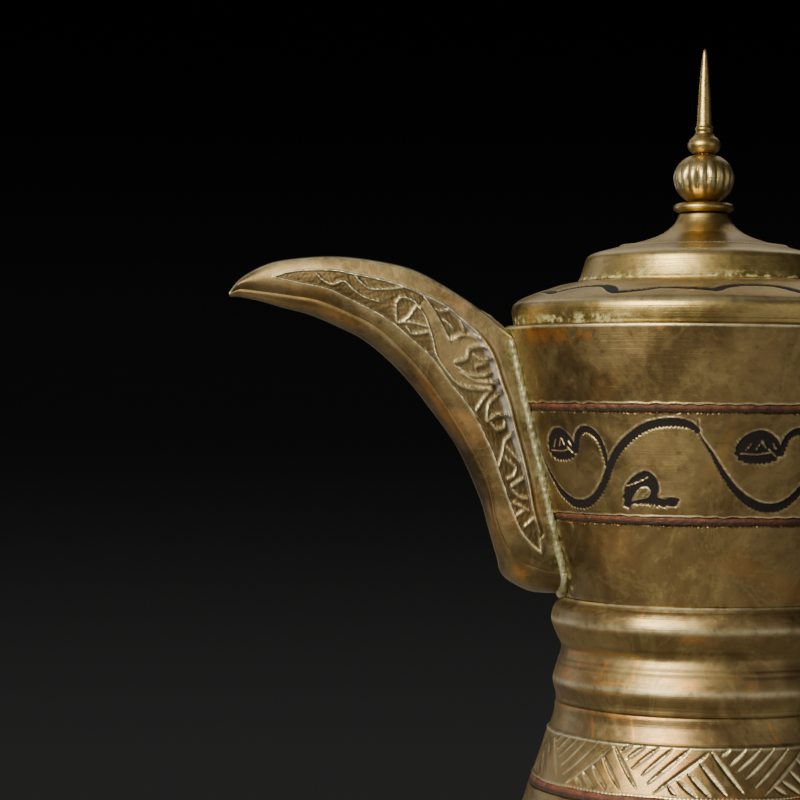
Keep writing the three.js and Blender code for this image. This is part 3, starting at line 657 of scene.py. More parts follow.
# Half of the neck, from beak to handle: the cone's radius at each height plus a lift of soft dents, minus the inlay's
# and the bands' troughs, plus the lips beside them. Columns are pushed round the port, which is left open.
def neckHalf(front):
    outline = denseSteps(neck["rows"], neck["rowCount"])
    outline = np.column_stack([radiusOf(neckLine, outline), outline])
    left, right = neck["frontColumns"]
    spread = np.r_[np.linspace(-90, 0, left, endpoint=False), np.linspace(0, 90, right)][None, :]
    shift = np.degrees(np.arcsin(portHalf(outline[:, 1:]) / outline[:, :1]))
    degrees = spread + shift * np.clip((0 - spread - 50) / 40, 0, 1)
    height = np.broadcast_to(outline[:, 1:], degrees.shape)
    arc = np.radians(degrees) * neck["midRadius"]
    inside, bright = vineField(degrees, height)
    lift = 0.10 * wobble(arc, height, 38) + 0.035 * wobble(arc, height, 9)
    lift -= vine["deep"] * ease(-0.12, 0.2, inside)
    lift += vine["lip"] * bright
    worn = 0.75 * bright
    soot = 0.55 * bell(inside, 0.22) * (inside < 0.1)
    for level in neck["bands"]:
        edge = wobble(arc, height * 0 + level, 5)
        nick = teeth(arc, 1.15, 0.3 * edge)
        top = height - level - neck["bandHalf"] - 0.14 * edge
        foot = level - neck["bandHalf"] - height - 0.10 * edge - 0.34 * nick
        lift -= neck["bandDeep"] * ease(0.16, -0.10, np.maximum(top, foot))
        lift += 0.16 * bell(top - 0.35, 0.3)
        # the band's toothed upper lip is paler by wear and painted highlight; its lower edge is darkened by painted
        # shade
        worn = np.maximum(worn, bell(top - 0.22, 0.26) * (0.65 + 0.35 * nick))
        soot = np.maximum(soot, bell(foot + 0.05, 0.35) * 0.9)
    dent, greyRun = (nearLine(*coneFlat(degrees, height), onCone(neck[name]))[0] for name in ("dent", "greyRun"))
    lift -= 0.3 * bell(dent, 0.55)
    lift -= 0.05 * sum(bell(height - ring, 0.35) for ring in neck["rings"])
    worn = np.maximum(worn, 0.9 * ease(209.7, 210.3, height))
    offSeam = np.abs(outline[:, :1] * np.sin(np.radians(degrees + 90))) - neck["beakHalf"]
    spot = neck["copper"]
    patch = ease(0.3, 0.6, 0.3 * wobble(arc, height, 6) + 1.1 * bell(degrees - spot["turn"], spot["wide"]))
    masks = {
        "inlay": np.clip(inside, -1, 1), "worn": worn, "soot": soot,
        "bloom": 0.55 * bell(np.maximum(offSeam, 0), 2.6) * (degrees < -40),
        "copper": bell(height - spot["height"], spot["tall"]) * patch, "grey": 0.8 * bell(greyRun, 1.3),
    }
    grid, caps, uv, masks = spunSheet(outline, degrees, pot["wall"], lift, 6, masks)
    if not front:
        grid = grid * np.array([1, -1, 1])
    return tube(grid, "caps", caps, uv, masks)


makePiece("neck_front", neckHalf(True), potBrass, ["neck_shell"])
makePiece("neck_back", neckHalf(False), potBrass, ["neck_shell"])
print("neck made")


# red filling laid in the bands
bandPieces = {
    "neck_band_lower": {"level": 153.7, "half": 1.05, "line": neckLine},
    "neck_band_upper": {"level": 186.5, "half": 1.05, "line": neckLine},
    "belly_band": {"level": 72.4, "half": 1.25, "line": bellyLine},
}


# Filling: a low pillow from the groove's floor to just under the skin, radius - 0.32 - 0.16 share^4, uneven on its way.
def bandFilling(level, half, line, span):
    share = np.linspace(-1, 1, 11)
    height = level + half * share
    outer = np.column_stack([radiusOf(line, height) - 0.32 - 0.16 * share**4, height])
    inner = np.column_stack([radiusOf(line, height[::-2]) - 0.75, height[::-2]])
    outline = np.vstack([outer, inner])
    degrees = np.linspace(*span, 700, endpoint=span[1] - span[0] < 360)
    arc = np.radians(degrees) * outline[:, :1].mean()
    lift = 0.07 * wobble(arc, outline[:, 1:] * 2, 3) + 0.05 * wobble(arc, outline[:, 1:] * 2, 1.2)
    lift[len(outer):] = 0
    grid = spin(outline[:, :1] + lift, outline[:, 1:], degrees[None, :]).transpose(1, 0, 2)
    # darker towards the bottom of the filling
    soot = np.interp(outline[:, 1] - level, [-0.25 * half, 0.3 * half], [0.8, 0])
    soot[len(outer):] = 0
    masks = {"soot": np.broadcast_to(soot, grid.shape[:2])}
    uv = np.stack([grid[..., 0], grid[..., 2]], -1) * millimetre
    return tube(grid, "wrap" if span[1] - span[0] >= 360 else "caps", None, uv, masks)


for name, band in bandPieces.items():
    span = (-180, 180)
    if band["line"] is neckLine:
        behind = math.degrees(math.asin(12.8 / radiusOf(neckLine, band["level"])))
        span = (-90 + behind, 270 - behind)
    made = bandFilling(band["level"], band["half"], band["line"], span)
    makePiece(name + "_filling", made, redFilling, [name])
print("bands filled")


# belly: chased triangles of cuts over a red band
belly = {
    "columns": (342, 308),  # over the cameraward side and over the rest
    "dense": (-105, 30),
    "rows": [(2.6, 64, 2.0), (64, 70.5, 0.8), (70.5, 75, 0.24), (75, 88.6, 0.34), (88.6, 96.1, 0.5)],
    "rowCount": 121,
    "period": 36,
    "start": -57.5,
    "cuts": [
        [(0.4, 75.1), (18.4, 87.2)], [(-2.7, 77.3), (11.4, 87.6)], [(-5.5, 79.6), (5.5, 87.8)],
        [(-8.5, 81.8), (0.5, 87.9)], [(-11.3, 83.8), (-4.5, 88)], [(-14, 85.8), (-10, 88)],
        [(19.2, 87.2), (29.6, 76.4)], [(14.8, 84.4), (23.6, 75.8)], [(11.3, 81.3), (18.6, 75.4)],
        [(7.6, 79), (13.7, 75)], [(4.6, 77.4), (8.2, 75.1)],
    ],
    "cutHalf": 0.82,
    "cutDeep": 0.5,
    "cutCentre": 49.0,
    # coppery lines (degrees, height) of a painted window reflection
    "marks": [
        [(-81, 96.1), (-56, 96.0), (-38, 95.8), (-20, 96.0)], [(-52.0, 94.8), (-49.5, 88.8)],
        [(-33.4, 95.2), (-31.2, 89.3)], [(-73, 95.5), (-71.0, 91.2)], [(-42.1, 95.0), (-34.5, 95.1)],
        [(20, 95), (23, 89.5)], [(128, 95), (131, 89)],
    ],
    "rings": (94.6, 95.6, 66.5, 52, 50.5),
    "nicks": 250,  # small teeth on the band's upper lip, all the way round
}


# How near each point lies to any of a list of strokes (degrees, height), as 0 to 1, broken up along the way: the lines
# of a painted window reflection.
def reflectionLines(degrees, level, radius, strokes):
    arc = np.radians(degrees) * radius + 0 * level
    near = np.zeros(arc.shape)
    for stroke in strokes:
        line = softCurve(np.array(stroke, float) * [math.radians(1) * radius, 1], 6)
        distance, along = nearLine(arc, level + 0 * arc, line)[:2]
        near = np.maximum(near, bell(distance, 0.42) * (0.75 + 0.25 * np.sin(along * 1.7)))
    return near


# Chisel cuts: a lens-shaped trough, half width = size x sqrt(sin(pi x share)), deepest towards one side.
def cutField(arc, height):
    deep = np.zeros(arc.shape)
    bright = np.zeros(arc.shape)
    unit = math.radians(1) * belly["cutCentre"]
    for turn in range(10):
        middle = (belly["start"] + turn * belly["period"]) * unit
        u = (arc - middle + 5.3 * belly["period"] * unit) % (360 * unit) - 5.3 * belly["period"] * unit
        jitter = dice.normal(0, 0.25, (len(belly["cuts"]), 2, 2)) * (0 if turn == 0 else 1)
        for cut, shake in zip(belly["cuts"], jitter):
            ends = np.array(cut) * [unit, 1] + shake
            length = np.hypot(*(ends[1] - ends[0]))
            distance, along, side = nearLine(u, height, ends, 2.5)
            lens = belly["cutHalf"] * np.sqrt(np.sin(np.pi * np.clip(along / length, 0.02, 0.98)))
            offset = distance * side * (1 if ends[0, 1] > ends[1, 1] else -1)
            slope = np.where(offset < -0.45 * lens, (offset + lens) / 0.55, (lens - offset) / 1.45) / lens
            deep = np.maximum(deep, np.clip(slope, 0, 1) * (distance < 2))
            # a painted highlight on the cut's gentler facet
            bright = np.maximum(bright, bell(offset - 0.25 * lens, 0.38 * lens + 0.06) * (distance < 2))
    return deep, bright


# Belly: the outline spun round, minus the cuts and the band's trough, plus the lips and the step above the cuts.
def bellyShell():
    height = denseSteps(belly["rows"], belly["rowCount"])
    outline = np.column_stack([radiusOf(bellyLine, height), height])
    (near, far), (first, last) = belly["columns"], belly["dense"]
    degrees = np.linspace(first, last, near, endpoint=False)
    degrees = np.r_[degrees, np.linspace(last, first + 360, far, endpoint=False)][None, :]
    arc = np.radians(degrees) * belly["cutCentre"] + 0 * height[:, None]
    level = height[:, None] + 0 * degrees
    deep, bright = cutField(arc, level)
    wave = math.tau * belly["cutCentre"]
    edge = np.sin(arc * math.tau * 31 / wave) * 0.5 + np.sin(arc * math.tau * 13 / wave + 1)
    nick = teeth(arc, wave / belly["nicks"], 0.2 * edge)
    lift = -belly["cutDeep"] * deep - 0.2
    lift += 0.12 * np.sin(arc * math.tau * 5 / wave + 0.07 * level) * ease(6, 20, level)
    top = level - 73.75 - 0.1 * edge
    foot = 71.05 - level - 0.08 * edge
    lift -= 0.8 * ease(0.16, -0.10, np.maximum(top, foot))
    lift += 0.2 * bell(top - 0.45, 0.35) * (0.4 + 0.6 * nick)
    lift += 0.35 * ease(80, 88, level) - 0.5 * ease(88.1, 88.7, level) + 0.62 * ease(93, 96, level)
    lift += 0.12 * bell(level - 87.9, 0.3)
    lift -= 0.06 * sum(bell(level - ring, 0.3) for ring in belly["rings"])
    # paler: painted highlight on the cut facets; wear and painted highlight on the band's toothed upper lip and on the
    # ridge over the cuts
    worn = np.maximum(0.95 * bright, bell(top - 0.3, 0.4) * nick)
    worn = np.maximum(worn, 0.75 * bell(level - 88.0, 0.35))
    # darker: painted shade deep in the cuts and along the band's lower edge, and a painted shadow line just above the
    # step
    soot = np.maximum(0.55 * deep * (1 - bright), 0.8 * bell(foot + 0.05, 0.3))
    soot = np.maximum(soot, 0.6 * bell(level - 88.9, 0.3))
    # painted window reflection: coppery lines at the belly's top
    marks = reflectionLines(degrees, level, 46, belly["marks"])
    copper = np.maximum(0.6 * bell(level - 74.6, 1.0) * ease(0.3, 1.2, edge), marks)
    masks = {"worn": worn, "soot": soot, "copper": copper}
    grid, caps, uv, masks = spunSheet(outline, degrees, pot["wall"], lift, 6, masks)
    return tube(grid, "wrap", None, uv, masks)


makePiece("belly_shell_worked", bellyShell(), potBrass, ["belly_shell"])
print("belly made")


# waist collar: two turned rings with a valley between
collar = {
    "rings": (98.3, 99.1, 108.2, 110, 114.4, 115, 127),  # heights of the fine turned lines
    "underShade": 0.5,  # painted shade on surfaces that face down
    # coppery lines (degrees, height) of a painted window reflection
    "marks": [
        [(-66.5, 121.9), (-54.7, 120.9), (-46.6, 120.9), (-30.5, 121.6), (-18.9, 121.6)],
        [(-28.7, 129.4), (-29.8, 123.0)], [(-74.6, 112.2), (-48.7, 113.6), (-32.1, 113.6)],
        [(-74.6, 112.2), (-71.3, 102.8)], [(-71.3, 102.8), (-51.8, 102.0), (-35.1, 102.5)],
        [(-32.2, 112.4), (-34.1, 103.1)], [(-62.8, 110.5), (-62.8, 104.2)], [(-46.3, 111.6), (-50.4, 102.6)],
        [(-52.1, 104.7), (-34.6, 105.5)], [(30, 122), (62, 121), (80, 121.6)], [(40, 112), (44, 103)],
        [(120, 121), (150, 122)], [(132, 112), (130, 103)],
    ],
}


# Collar: its outline spun round, a little out of true, with fine turned lines and painted shade where it faces down.
def waistCollar():
    outline = evenLine(collarLine, 97)
    degrees = np.linspace(-180, 180, 360, endpoint=False)[None, :]
    level = outline[:, 1:] + 0 * degrees
    turn = np.radians(degrees)
    lift = 0.10 * np.sin(3 * turn + 1) + 0.06 * np.sin(7 * turn + level * 0.2)
    rings = collar["rings"]
    lift -= 0.10 * sum(bell(level - ring, 0.28) for ring in rings)
    soot = 0.5 * sum(bell(level - ring, 0.35) for ring in rings) + 0.5 * bell(level - 96.8, 0.5)
    # painted shade on the faces that look down
    soot = np.maximum(soot, collar["underShade"] * ease(0.0, -0.28, outward(outline)[:, 1:]))
    worn = 0.45 * bell(level - 121.6, 1.0) + 0.4 * bell(level - 103.4, 0.9) + 0.7 * bell(level - 128.2, 0.4)
    waves = np.sin(5 * turn + 2) + 0.8 * np.sin(13 * turn + level * 0.4) + 0.5 * np.sin(29 * turn - level)
    patch = ease(0.5, 1.6, waves)
    copper = 0.7 * patch * (bell(level - 105.5, 2.2) + bell(level - 119.5, 1.2))
    # painted window reflection: coppery lines on the collar
    copper = np.maximum(copper, reflectionLines(degrees, level, 46, collar["marks"]))
    masks = {"worn": worn, "soot": soot, "copper": copper}
    grid, caps, uv, masks = spunSheet(outline, degrees, pot["wall"], lift, 6, masks)
    return tube(grid, "wrap", None, uv, masks)


makePiece("waist_collar_turned", waistCollar(), potBrass, ["waist_collar"])


# base: a dished plate under a low foot
base = {
    "outline": [
        (0, 0.9), (20, 0.9), (44, 0.6), (50, 0.12), (56, 0.04), (57.9, 0.28), (58.4, 0.9), (57.8, 1.7), (50, 1.75),
        (20, 1.8), (0, 1.8),
    ],
    "rings": ((30, 0.8), (47, 0.7)),  # radius and width of the turned lines
    "ringDeep": 0.12,
}


# Base plate: the outline spun about the axis, its underside lowered at each turned line.
def basePlate():
    outline = softCurve(base["outline"], 6)
    lines = sum(bell(outline[:, :1] - radius, width) for radius, width in base["rings"])
    return spunSolid(outline, 180, np.where(outline[:, 1:] < 1.2, -base["ringDeep"] * lines, 0))


makePiece("base_plate_turned", basePlate(), potBrass, ["base_plate"])
print("collar and base made")


# beak: two flat cheeks on a round keel, soldered to the neck; side view points are (x, z)
beak = {
    "top": [
        (-145.7, 220.6), (-142, 225.1), (-133.2, 229.5), (-122, 231.2), (-111.6, 231.5), (-100.9, 230.3),
        (-89.9, 227.8),
        (-80.8, 223.3), (-72.4, 218), (-66.5, 213.7), (-61.9, 209.7), (-54, 203.5), (-50, 196.5), (-46, 188.5),
        (-42, 180.5), (-38, 172.5), (-34, 164.5), (-28, 152.5),
    ],
    "crease": [
        (-145.6, 220.1), (-142.3, 221.7), (-135.5, 221), (-126.8, 219.8), (-118.8, 218.5), (-109.3, 215),
        (-99.6, 210),
        (-89.6, 200.8), (-81.7, 191), (-74.4, 179.6), (-66.7, 165.8), (-63.4, 152.8), (-60.5, 145.4), (-58.2, 142.2),
        (-54.4, 139), (-50.1, 137.3), (-45.2, 136.2), (-36, 135.6),
    ],
    "under": [
        (-145.5, 219.6), (-142.7, 219.4), (-136.8, 218.2), (-128.9, 216.2), (-121.5, 214.1), (-112.8, 210.8),
        (-103.5, 205.9),
        (-93, 196.5), (-83.5, 185.1), (-75.3, 173.4), (-68.6, 159.4), (-65.6, 149.4), (-63, 140.5), (-61.9, 136.2),
        (-59.2, 133), (-53.7, 130.2), (-48.1, 129.2), (-38.5, 129),
    ],
    "half": [1.3, 2.2, 4, 5.6, 7, 8.3, 9.5, 10.5, 11.3, 11.9, 12.4, 12.5, 12.5, 12.5, 12.5, 12.5, 12.5, 12.5],
    "wall": 1.4,
    "bow": 1.2,  # how far a cheek bellies out
    "bridge": (8.0, 10.2),  # from this knot of the top line to that one
    "bridgeCrown": 1.6,
    "above": 215,  # a height over the keel, to tell its outside from its inside
    "tip": -146,  # x where the relief has faded out
    "knotSteps": 40,
    "beadSize": 1.2,
    "beadLength": 90,
    "coppery": 0.5,
}
panel = {
    "lower": [
        (-131.8, 225.5), (-126.3, 224.3), (-124.2, 223.8), (-115.5, 222.0), (-108.4, 218.8), (-101.4, 215.3),
        (-95.5, 211.8),
        (-89.7, 206.9), (-83.8, 201.7), (-77.9, 193.9), (-73.2, 188.2), (-69.1, 181.8), (-65.0, 173.2),
        (-63.1, 168.1),
        (-60.7, 161.2), (-58.3, 154.7), (-55.9, 149.2), (-52.7, 145.1), (-49.8, 142.5),
    ],
    "upper": [
        (-127.8, 226.9), (-122.0, 227.6), (-113.2, 227.5), (-107.3, 226.4), (-98.5, 224.6), (-92.7, 222.9),
        (-86.3, 220.3),
        (-79.3, 216.9), (-74.6, 213.1), (-70.0, 209.1), (-66.5, 204.5), (-64.1, 199.8), (-62.3, 194.0),
        (-60.0, 187.6),
        (-58.0, 179.7), (-55.7, 171.4), (-53.7, 163.1), (-52.3, 155.3), (-50.3, 148.3),
    ],
    "stem": [
        (-85.7, 219.7), (-82.7, 215.4), (-80.4, 211.3), (-78, 206.7), (-75.2, 207.9), (-72.3, 208.1), (-68.8, 207),
        (-67, 204.1), (-69.9, 204.4), (-72.2, 203.2), (-72.8, 200.9), (-76.2, 199.8), (-75.7, 198.6), (-74.5, 196.9),
        (-70.4, 194.5), (-66.3, 193.9), (-62.9, 194.2), (-65.2, 191.7), (-68.7, 191.7), (-72.7, 192.2),
        (-76.2, 193.9),
        (-79.1, 197.4), (-82.1, 202), (-83.2, 206.7), (-84.5, 210.7), (-85.6, 213.6), (-87.4, 216.5),
    ],
    "strokes": [
        [(-118.4, 226.4), (-116.7, 224.6), (-113.7, 223.4), (-110.2, 224.3), (-107.3, 221.7), (-103.7, 219.4),
         (-99.6, 218.2)],
        [(-106.7, 225.8), (-104.9, 223.8), (-102.0, 222.0), (-96.8, 222.0), (-90.9, 222.3), (-86.3, 220.0)],
        [(-94.4, 217.7), (-92.7, 219.5), (-89.8, 218.8), (-88.0, 217.3), (-89.1, 215.4), (-90.9, 213.0), (-94.0, 211.8),
         (-94.4, 217.7)],
        [(-87.4, 216.5), (-85.6, 213.6), (-84.5, 210.7), (-83.2, 206.7), (-82.1, 202.0), (-79.1, 197.4), (-76.2, 193.9),
         (-72.7, 192.2), (-68.7, 191.7), (-65.2, 191.7)],
        [(-65.2, 191.7), (-68.0, 188.2), (-69.7, 185.3)],
        [(-93.8, 211.8), (-89.7, 211.9), (-85.0, 210.7)], [(-90.8, 210.1), (-89.1, 208.4), (-84.4, 209.0)],
        [(-85.7, 219.7), (-82.7, 215.4), (-80.4, 211.3), (-78.0, 206.7)],
        [(-78.0, 206.7), (-75.2, 207.9), (-72.3, 208.1), (-68.8, 207.0)],
        [(-82.0, 215.9), (-80.6, 215.3), (-78.5, 215.6)], [(-79.7, 212.6), (-78.1, 211.4), (-77.1, 210.2)],
        [(-74.6, 212.0), (-73.6, 209.4)],
        [(-76.2, 199.8), (-72.8, 200.9), (-72.2, 203.2), (-69.9, 204.4), (-67.0, 204.1)],
        [(-70.5, 202.1), (-68.2, 200.7), (-64.7, 201.0)], [(-69.9, 198.6), (-66.4, 199.8)],
        [(-75.7, 198.6), (-72.2, 196.3), (-68.1, 195.7), (-65.2, 196.9)],
        [(-74.5, 196.9), (-70.4, 194.5), (-66.3, 193.9), (-62.9, 194.2)],
        [(-62.0, 190.9), (-65.2, 188.2), (-66.3, 185.9), (-66.5, 182.1)],
        [(-66.5, 182.1), (-63.4, 183.9), (-59.3, 183.6)],
        [(-65.1, 181.3), (-63.4, 179.6), (-61.6, 180.1), (-61.1, 181.9)],
        [(-58.5, 178.4), (-61.0, 176.0), (-61.7, 172.3), (-62.8, 168.6)],
        [(-60.3, 174.2), (-56.1, 169.6)], [(-61.0, 171.1), (-57.9, 168.6)],
        [(-57.5, 167.7), (-58.4, 165.4), (-60.2, 164.4)],
        [(-59.1, 162.4), (-55.4, 164.9)], [(-58.8, 161.7), (-56.5, 159.4), (-54.2, 158.9)],
        [(-58.3, 157.5), (-56.0, 156.6), (-53.7, 155.2)], [(-57.4, 153.6), (-55.1, 155.2)],
        [(-54.8, 150.4), (-52.3, 152.7)],
    ],
    "ground": 0.42,  # depth of the sunk ground
    "ridge": 0.52,  # how far a chased line stands over the ground
    "ridgeHalf": 0.40,
    "cordPitch": 1.5,
    "border": 0.28,  # how far the panel's edge stands up
    "grimeShadeDark": 0.72,
}
topLine = softCurve(np.column_stack([beak["top"], beak["half"]]), beak["knotSteps"])
creaseLine = softCurve(np.column_stack([beak["crease"], beak["half"]]), beak["knotSteps"])
underLine = softCurve(beak["under"], beak["knotSteps"])


# Lines [lines, steps, 3] cut where they enter the pot (grown by a margin) and laid out again at even steps.
def trimmed(lines, stations, margin=0.3, bothEnds=False):
    depth = radiusOf(skinLine, lines[..., 2]) + margin - np.hypot(lines[..., 0], lines[..., 1])
    within = depth > 0
    steps = lines.shape[1]
    row = np.arange(len(lines))
    centre = steps // 2 if bothEnds else 0

    def crossing(first):
        before, after = depth[row, first - 1], depth[row, first]
        return first - 1 + before / (before - after)
    late = within.copy()
    late[:, :centre + 1] = False
    last = np.where(late.any(1), crossing(np.clip(late.argmax(1), 1, steps - 1)), steps - 1)
    start = np.zeros(len(lines))
    if bothEnds:
        early = within[:, :centre][:, ::-1]
        first = centre - early.argmax(1)
        start = np.where(early.any(1), crossing(first), 0)
    marks = start[:, None] + (last - start)[:, None] * np.linspace(0, 1, stations)[None, :]
    low = np.clip(marks.astype(int), 0, steps - 2)
    share = (marks - low)[..., None]
    return lines[row[:, None], low] * (1 - share) + lines[row[:, None], low + 1] * share


# uv of a grid seen from the side or from above: two of its axes, in metres.
def flatUv(grid, first=0, second=2):
    return np.stack([grid[..., first], grid[..., second]], -1) * millimetre


# Cheek: at each share v, crease + (top - crease) v at the beak's half width; the panel is sunk, its lines stand up.
def cheekSheet(side):
    reach = np.linalg.norm((topLine - creaseLine)[:, :2], axis=1)
    start = np.minimum(0.12 / np.maximum(reach, 0.5), 0.3)

    def layer(count, thick):
        v = start[None, :] + (1 - start[None, :]) * np.linspace(0, 1, count)[:, None]
        flat = creaseLine[None, :, :2] + (topLine - creaseLine)[None, :, :2] * v[..., None]
        half = np.maximum(topLine[:, 2] - thick, topLine[:, 2] * 0.35)[None, :] + 0 * v
        return trimmed(np.stack([flat[..., 0], half, flat[..., 1]], -1), 540)
    outer, inner = layer(127, 0), layer(19, beak["wall"])
    x, z = outer[..., 0], outer[..., 2]
    border = np.vstack([softCurve(panel["lower"], 5), softCurve(panel["upper"], 5)[::-1]])
    inside = -nearOutline(x, z, border)
    stem = -nearOutline(x, z, softLoop(panel["stem"], 3))
    upperEdge = nearLine(x, z, softCurve(panel["upper"], 5))[0]
    ridge = np.zeros(x.shape)
    for stroke in panel["strokes"]:
        near, along, beside = nearLine(x, z, softCurve(stroke, 6), 2)
        cord = teeth(along, panel["cordPitch"])
        ridge = np.maximum(ridge, bell(near + (beside > 0) * 0.2 * cord, panel["ridgeHalf"]) * (0.85 + 0.15 * cord))
    bevel = 0.35 + 2.3 * bell(z - 190, 24) * (upperEdge < inside + 0.05)
    sunk = ease(0, bevel, inside) * (1 - 0.85 * ease(-0.15, 0.25, stem))
    rough = wobble(x, z, 1.9) * 0.03 + wobble(x + 0.4 * z, z - 0.4 * x, 1.2) * 0.03
    lift = -panel["ground"] * sunk + panel["ridge"] * ridge * (inside > -0.1) + rough * sunk * (1 - ridge)
    edge = np.linspace(0, 1, len(x))[:, None] + 0 * x
    lift += panel["border"] * bell(inside, 0.26) + 0.05 * wobble(x, z, 22) + beak["bow"] * 4 * edge * (1 - edge)
    width = np.interp(x, topLine[:, 0], reach)
    nearCrease, nearTop = edge * width, (1 - edge) * width
    groove = bell(upperEdge - 0.9, 0.45) * (inside < 0) * ease(212, 203, z)
    lift -= 0.2 * bell(nearCrease, 1.4) + 0.3 * bell(nearTop, 0.45) + 0.3 * groove
    outer[..., 1] += lift * ease(0.3, 3.0, x - beak["tip"])
    gaps = ease(-1.2, 0.4, wobble(x, z, 3.1))
    worn = np.maximum(ridge * (inside > -0.1), bell(inside, 0.38)) * (0.75 + 0.25 * gaps)
    worn = np.maximum(worn, 0.6 * bell(nearTop - 0.3, 0.4))
    # darker on the sunk ground and in the groove under the panel's upper edge; painted shade along the crease over the
    # keel
    soot = panel["grimeShadeDark"] * sunk * (1 - ridge) + 0.85 * groove
    soot += 0.5 * bell(nearCrease, 1.3) + 0.3 * bell(nearCrease - 3.5, 2)
    masks = {
        "worn": worn, "soot": np.clip(soot, 0, 1),
        "grey": 0.7 * ease(0.05, 0.4, inside) * ease(bevel, bevel * 0.6, inside) * (bevel > 0.6),
        "bloom": 0.5 * bell(np.hypot(x, outer[..., 1]) - radiusOf(skinLine, z), 3.0),
    }
    for sheet in (outer, inner):
        sheet[..., 1] *= side
    grid, caps = sheetGrid(outer, inner)
    return tube(grid, "caps", caps, flatUv(grid), {n: onSheet(v, grid) for n, v in masks.items()}), outer


# Keel: at each step a half ellipse from crease to crease, centre + deep cos(turn), half width x sin(turn).
def keelSheet():
    centre, half = creaseLine[:, :2], creaseLine[:, 2]
    deep = underLine - centre
    size = np.linalg.norm(deep, axis=1)

    def layer(count, thick):
        turn = np.radians(np.linspace(-89.6, 89.6, count))[:, None]
        share = np.maximum(1 - thick / size, 0.35)[None, :]
        wide = np.maximum(half - thick, half * 0.35)[None, :]
        flat = centre[None] + (deep[None] * (share * np.cos(turn))[..., None])
        return trimmed(np.stack([flat[..., 0], wide * np.sin(turn), flat[..., 1]], -1), 320)
    outer, inner = layer(61, 0), layer(13, beak["wall"])
    turn = np.linspace(-89.6, 89.6, 61)[:, None] + 0 * outer[..., 0]
    length = np.linspace(0, 110, 320)[None, :]
    normal = np.cross(np.gradient(outer, axis=0), np.gradient(outer, axis=1))
    normal /= np.linalg.norm(normal, axis=-1, keepdims=True) + 1e-12
    normal *= np.sign((normal * (outer - [centre[:, 0].mean(), 0, beak["above"]])).sum(-1).mean())
    lift = -0.12 * bell(np.abs(turn) - 90, 8) + 0.10 * wobble(length, turn * 0.15, 16) - 0.1
    fade = ease(0.3, 6.0, outer[..., 0] - beak["tip"])
    outer = outer + normal * (lift * fade)[..., None]
    worn = 0.25 * bell(turn, 14)
    # painted shade along the crease at the keel's two edges
    soot = 0.6 * bell(np.abs(turn) - 84, 16)
    copper = beak["coppery"] * bell(np.abs(turn) - 62, 16) * ease(-0.2, 0.8, wobble(length, turn * 0.1, 24))
    masks = {"worn": worn, "soot": soot, "copper": copper}
    grid, caps = sheetGrid(outer, inner)
    return tube(grid, "caps", caps, flatUv(grid), {n: onSheet(v, grid) for n, v in masks.items()}), outer


# Bridge: a crowned strip over the channel's root, lift = crown x (1 - (y / half)^2), fading in from its outer end.
def bridgeSheet():
    steps = np.linspace(*beak["bridge"], 60) * beak["knotSteps"]
    line = np.stack([np.interp(steps, np.arange(len(topLine)), topLine[:, i]) for i in range(3)], 1)
    grow = np.minimum(1, np.linspace(0, 2, 60))

    def layer(count, drop):
        across = np.linspace(-1, 1, count)[:, None]
        lift = beak["bridgeCrown"] * grow[None, :] * (1 - across**2) - drop
        y = across * (line[:, 2] - beak["wall"] - 0.1)[None, :]
        return np.stack([line[None, :, 0] + lift * 0.5, y, line[None, :, 1] - 0.2 + lift * 0.85], -1)
    outer, inner = layer(37, 0), layer(10, pot["lidWall"])
    outer[..., 2] += 0.08 * wobble(outer[..., 0], outer[..., 1], 5)
    grid, caps = sheetGrid(outer, inner)
    masks = {"bloom": onSheet(0.8 + 0 * outer[..., 0], grid), "worn": onSheet(0.35 + 0 * outer[..., 0], grid)}
    return tube(grid, "caps", caps, flatUv(grid, 0, 1), masks)


# A round bar along a path: centre + radius (cos n + sin b), with n and b square to the path.
def bar(path, radius, around=20, out=(0, -1, 0)):
    way = np.gradient(path, axis=0)
    way /= np.linalg.norm(way, axis=1, keepdims=True)
    normal = np.asarray(out, float)[None] - way * (way @ np.asarray(out, float))[:, None]
    normal /= np.linalg.norm(normal, axis=1, keepdims=True)
    cross = np.cross(way, normal)
    turn = np.linspace(0, math.tau, around, endpoint=False)
    radius = np.broadcast_to(np.asarray(radius, float).reshape(len(path), -1), (len(path), around))
    across = np.cos(turn)[None, :, None] * normal[:, None] + np.sin(turn)[None, :, None] * cross[:, None]
    return path[:, None] + radius[..., None] * across


# Solder bead: a lumpy bar down the joint of cheek and neck and on round the keel's foot, where it is thicker.
def solderBead(cheek, keel, side):
    down = cheek[::-1, -1]
    foot = keel[:28, -1] if side < 0 else keel[::-1][:28, -1]
    path = evenLine(np.vstack([down[1:-1:4], foot[1::2]]), 260)
    path += np.stack([path[:, 0] / 60, path[:, 1] / 60, path[:, 0] * 0], 1) * 0.25
    length = beak["beadLength"]
    along = np.linspace(0, length, 260)
    turn = np.linspace(0, math.tau, 20, endpoint=False)[None, :]
    size = beak["beadSize"] + 0.08 * wobble(along, along * 0, 9) + 0.05 * wobble(along, along * 0, 2.2)
    size = size * np.clip(np.minimum(along, length - along) / 1.2, 0.15, 1) ** 0.5 + 0.7 * bell(along - 86, 4)
    lumps = 1 + 0.05 * np.sin(turn * 3 + along[:, None] * 0.5) + 0.05 * np.sin(turn * 5 - along[:, None] * 1.9)
    grid = bar(path, size[:, None] * lumps, 20, (0, side, 0))
    soot = 0.5 * ease(0.2, 1.2, wobble(along, along * 0, 11))[:, None] + 0 * grid[..., 0]
    return tube(grid, "caps", None, flatUv(grid, 2, 0), {"soot": soot})


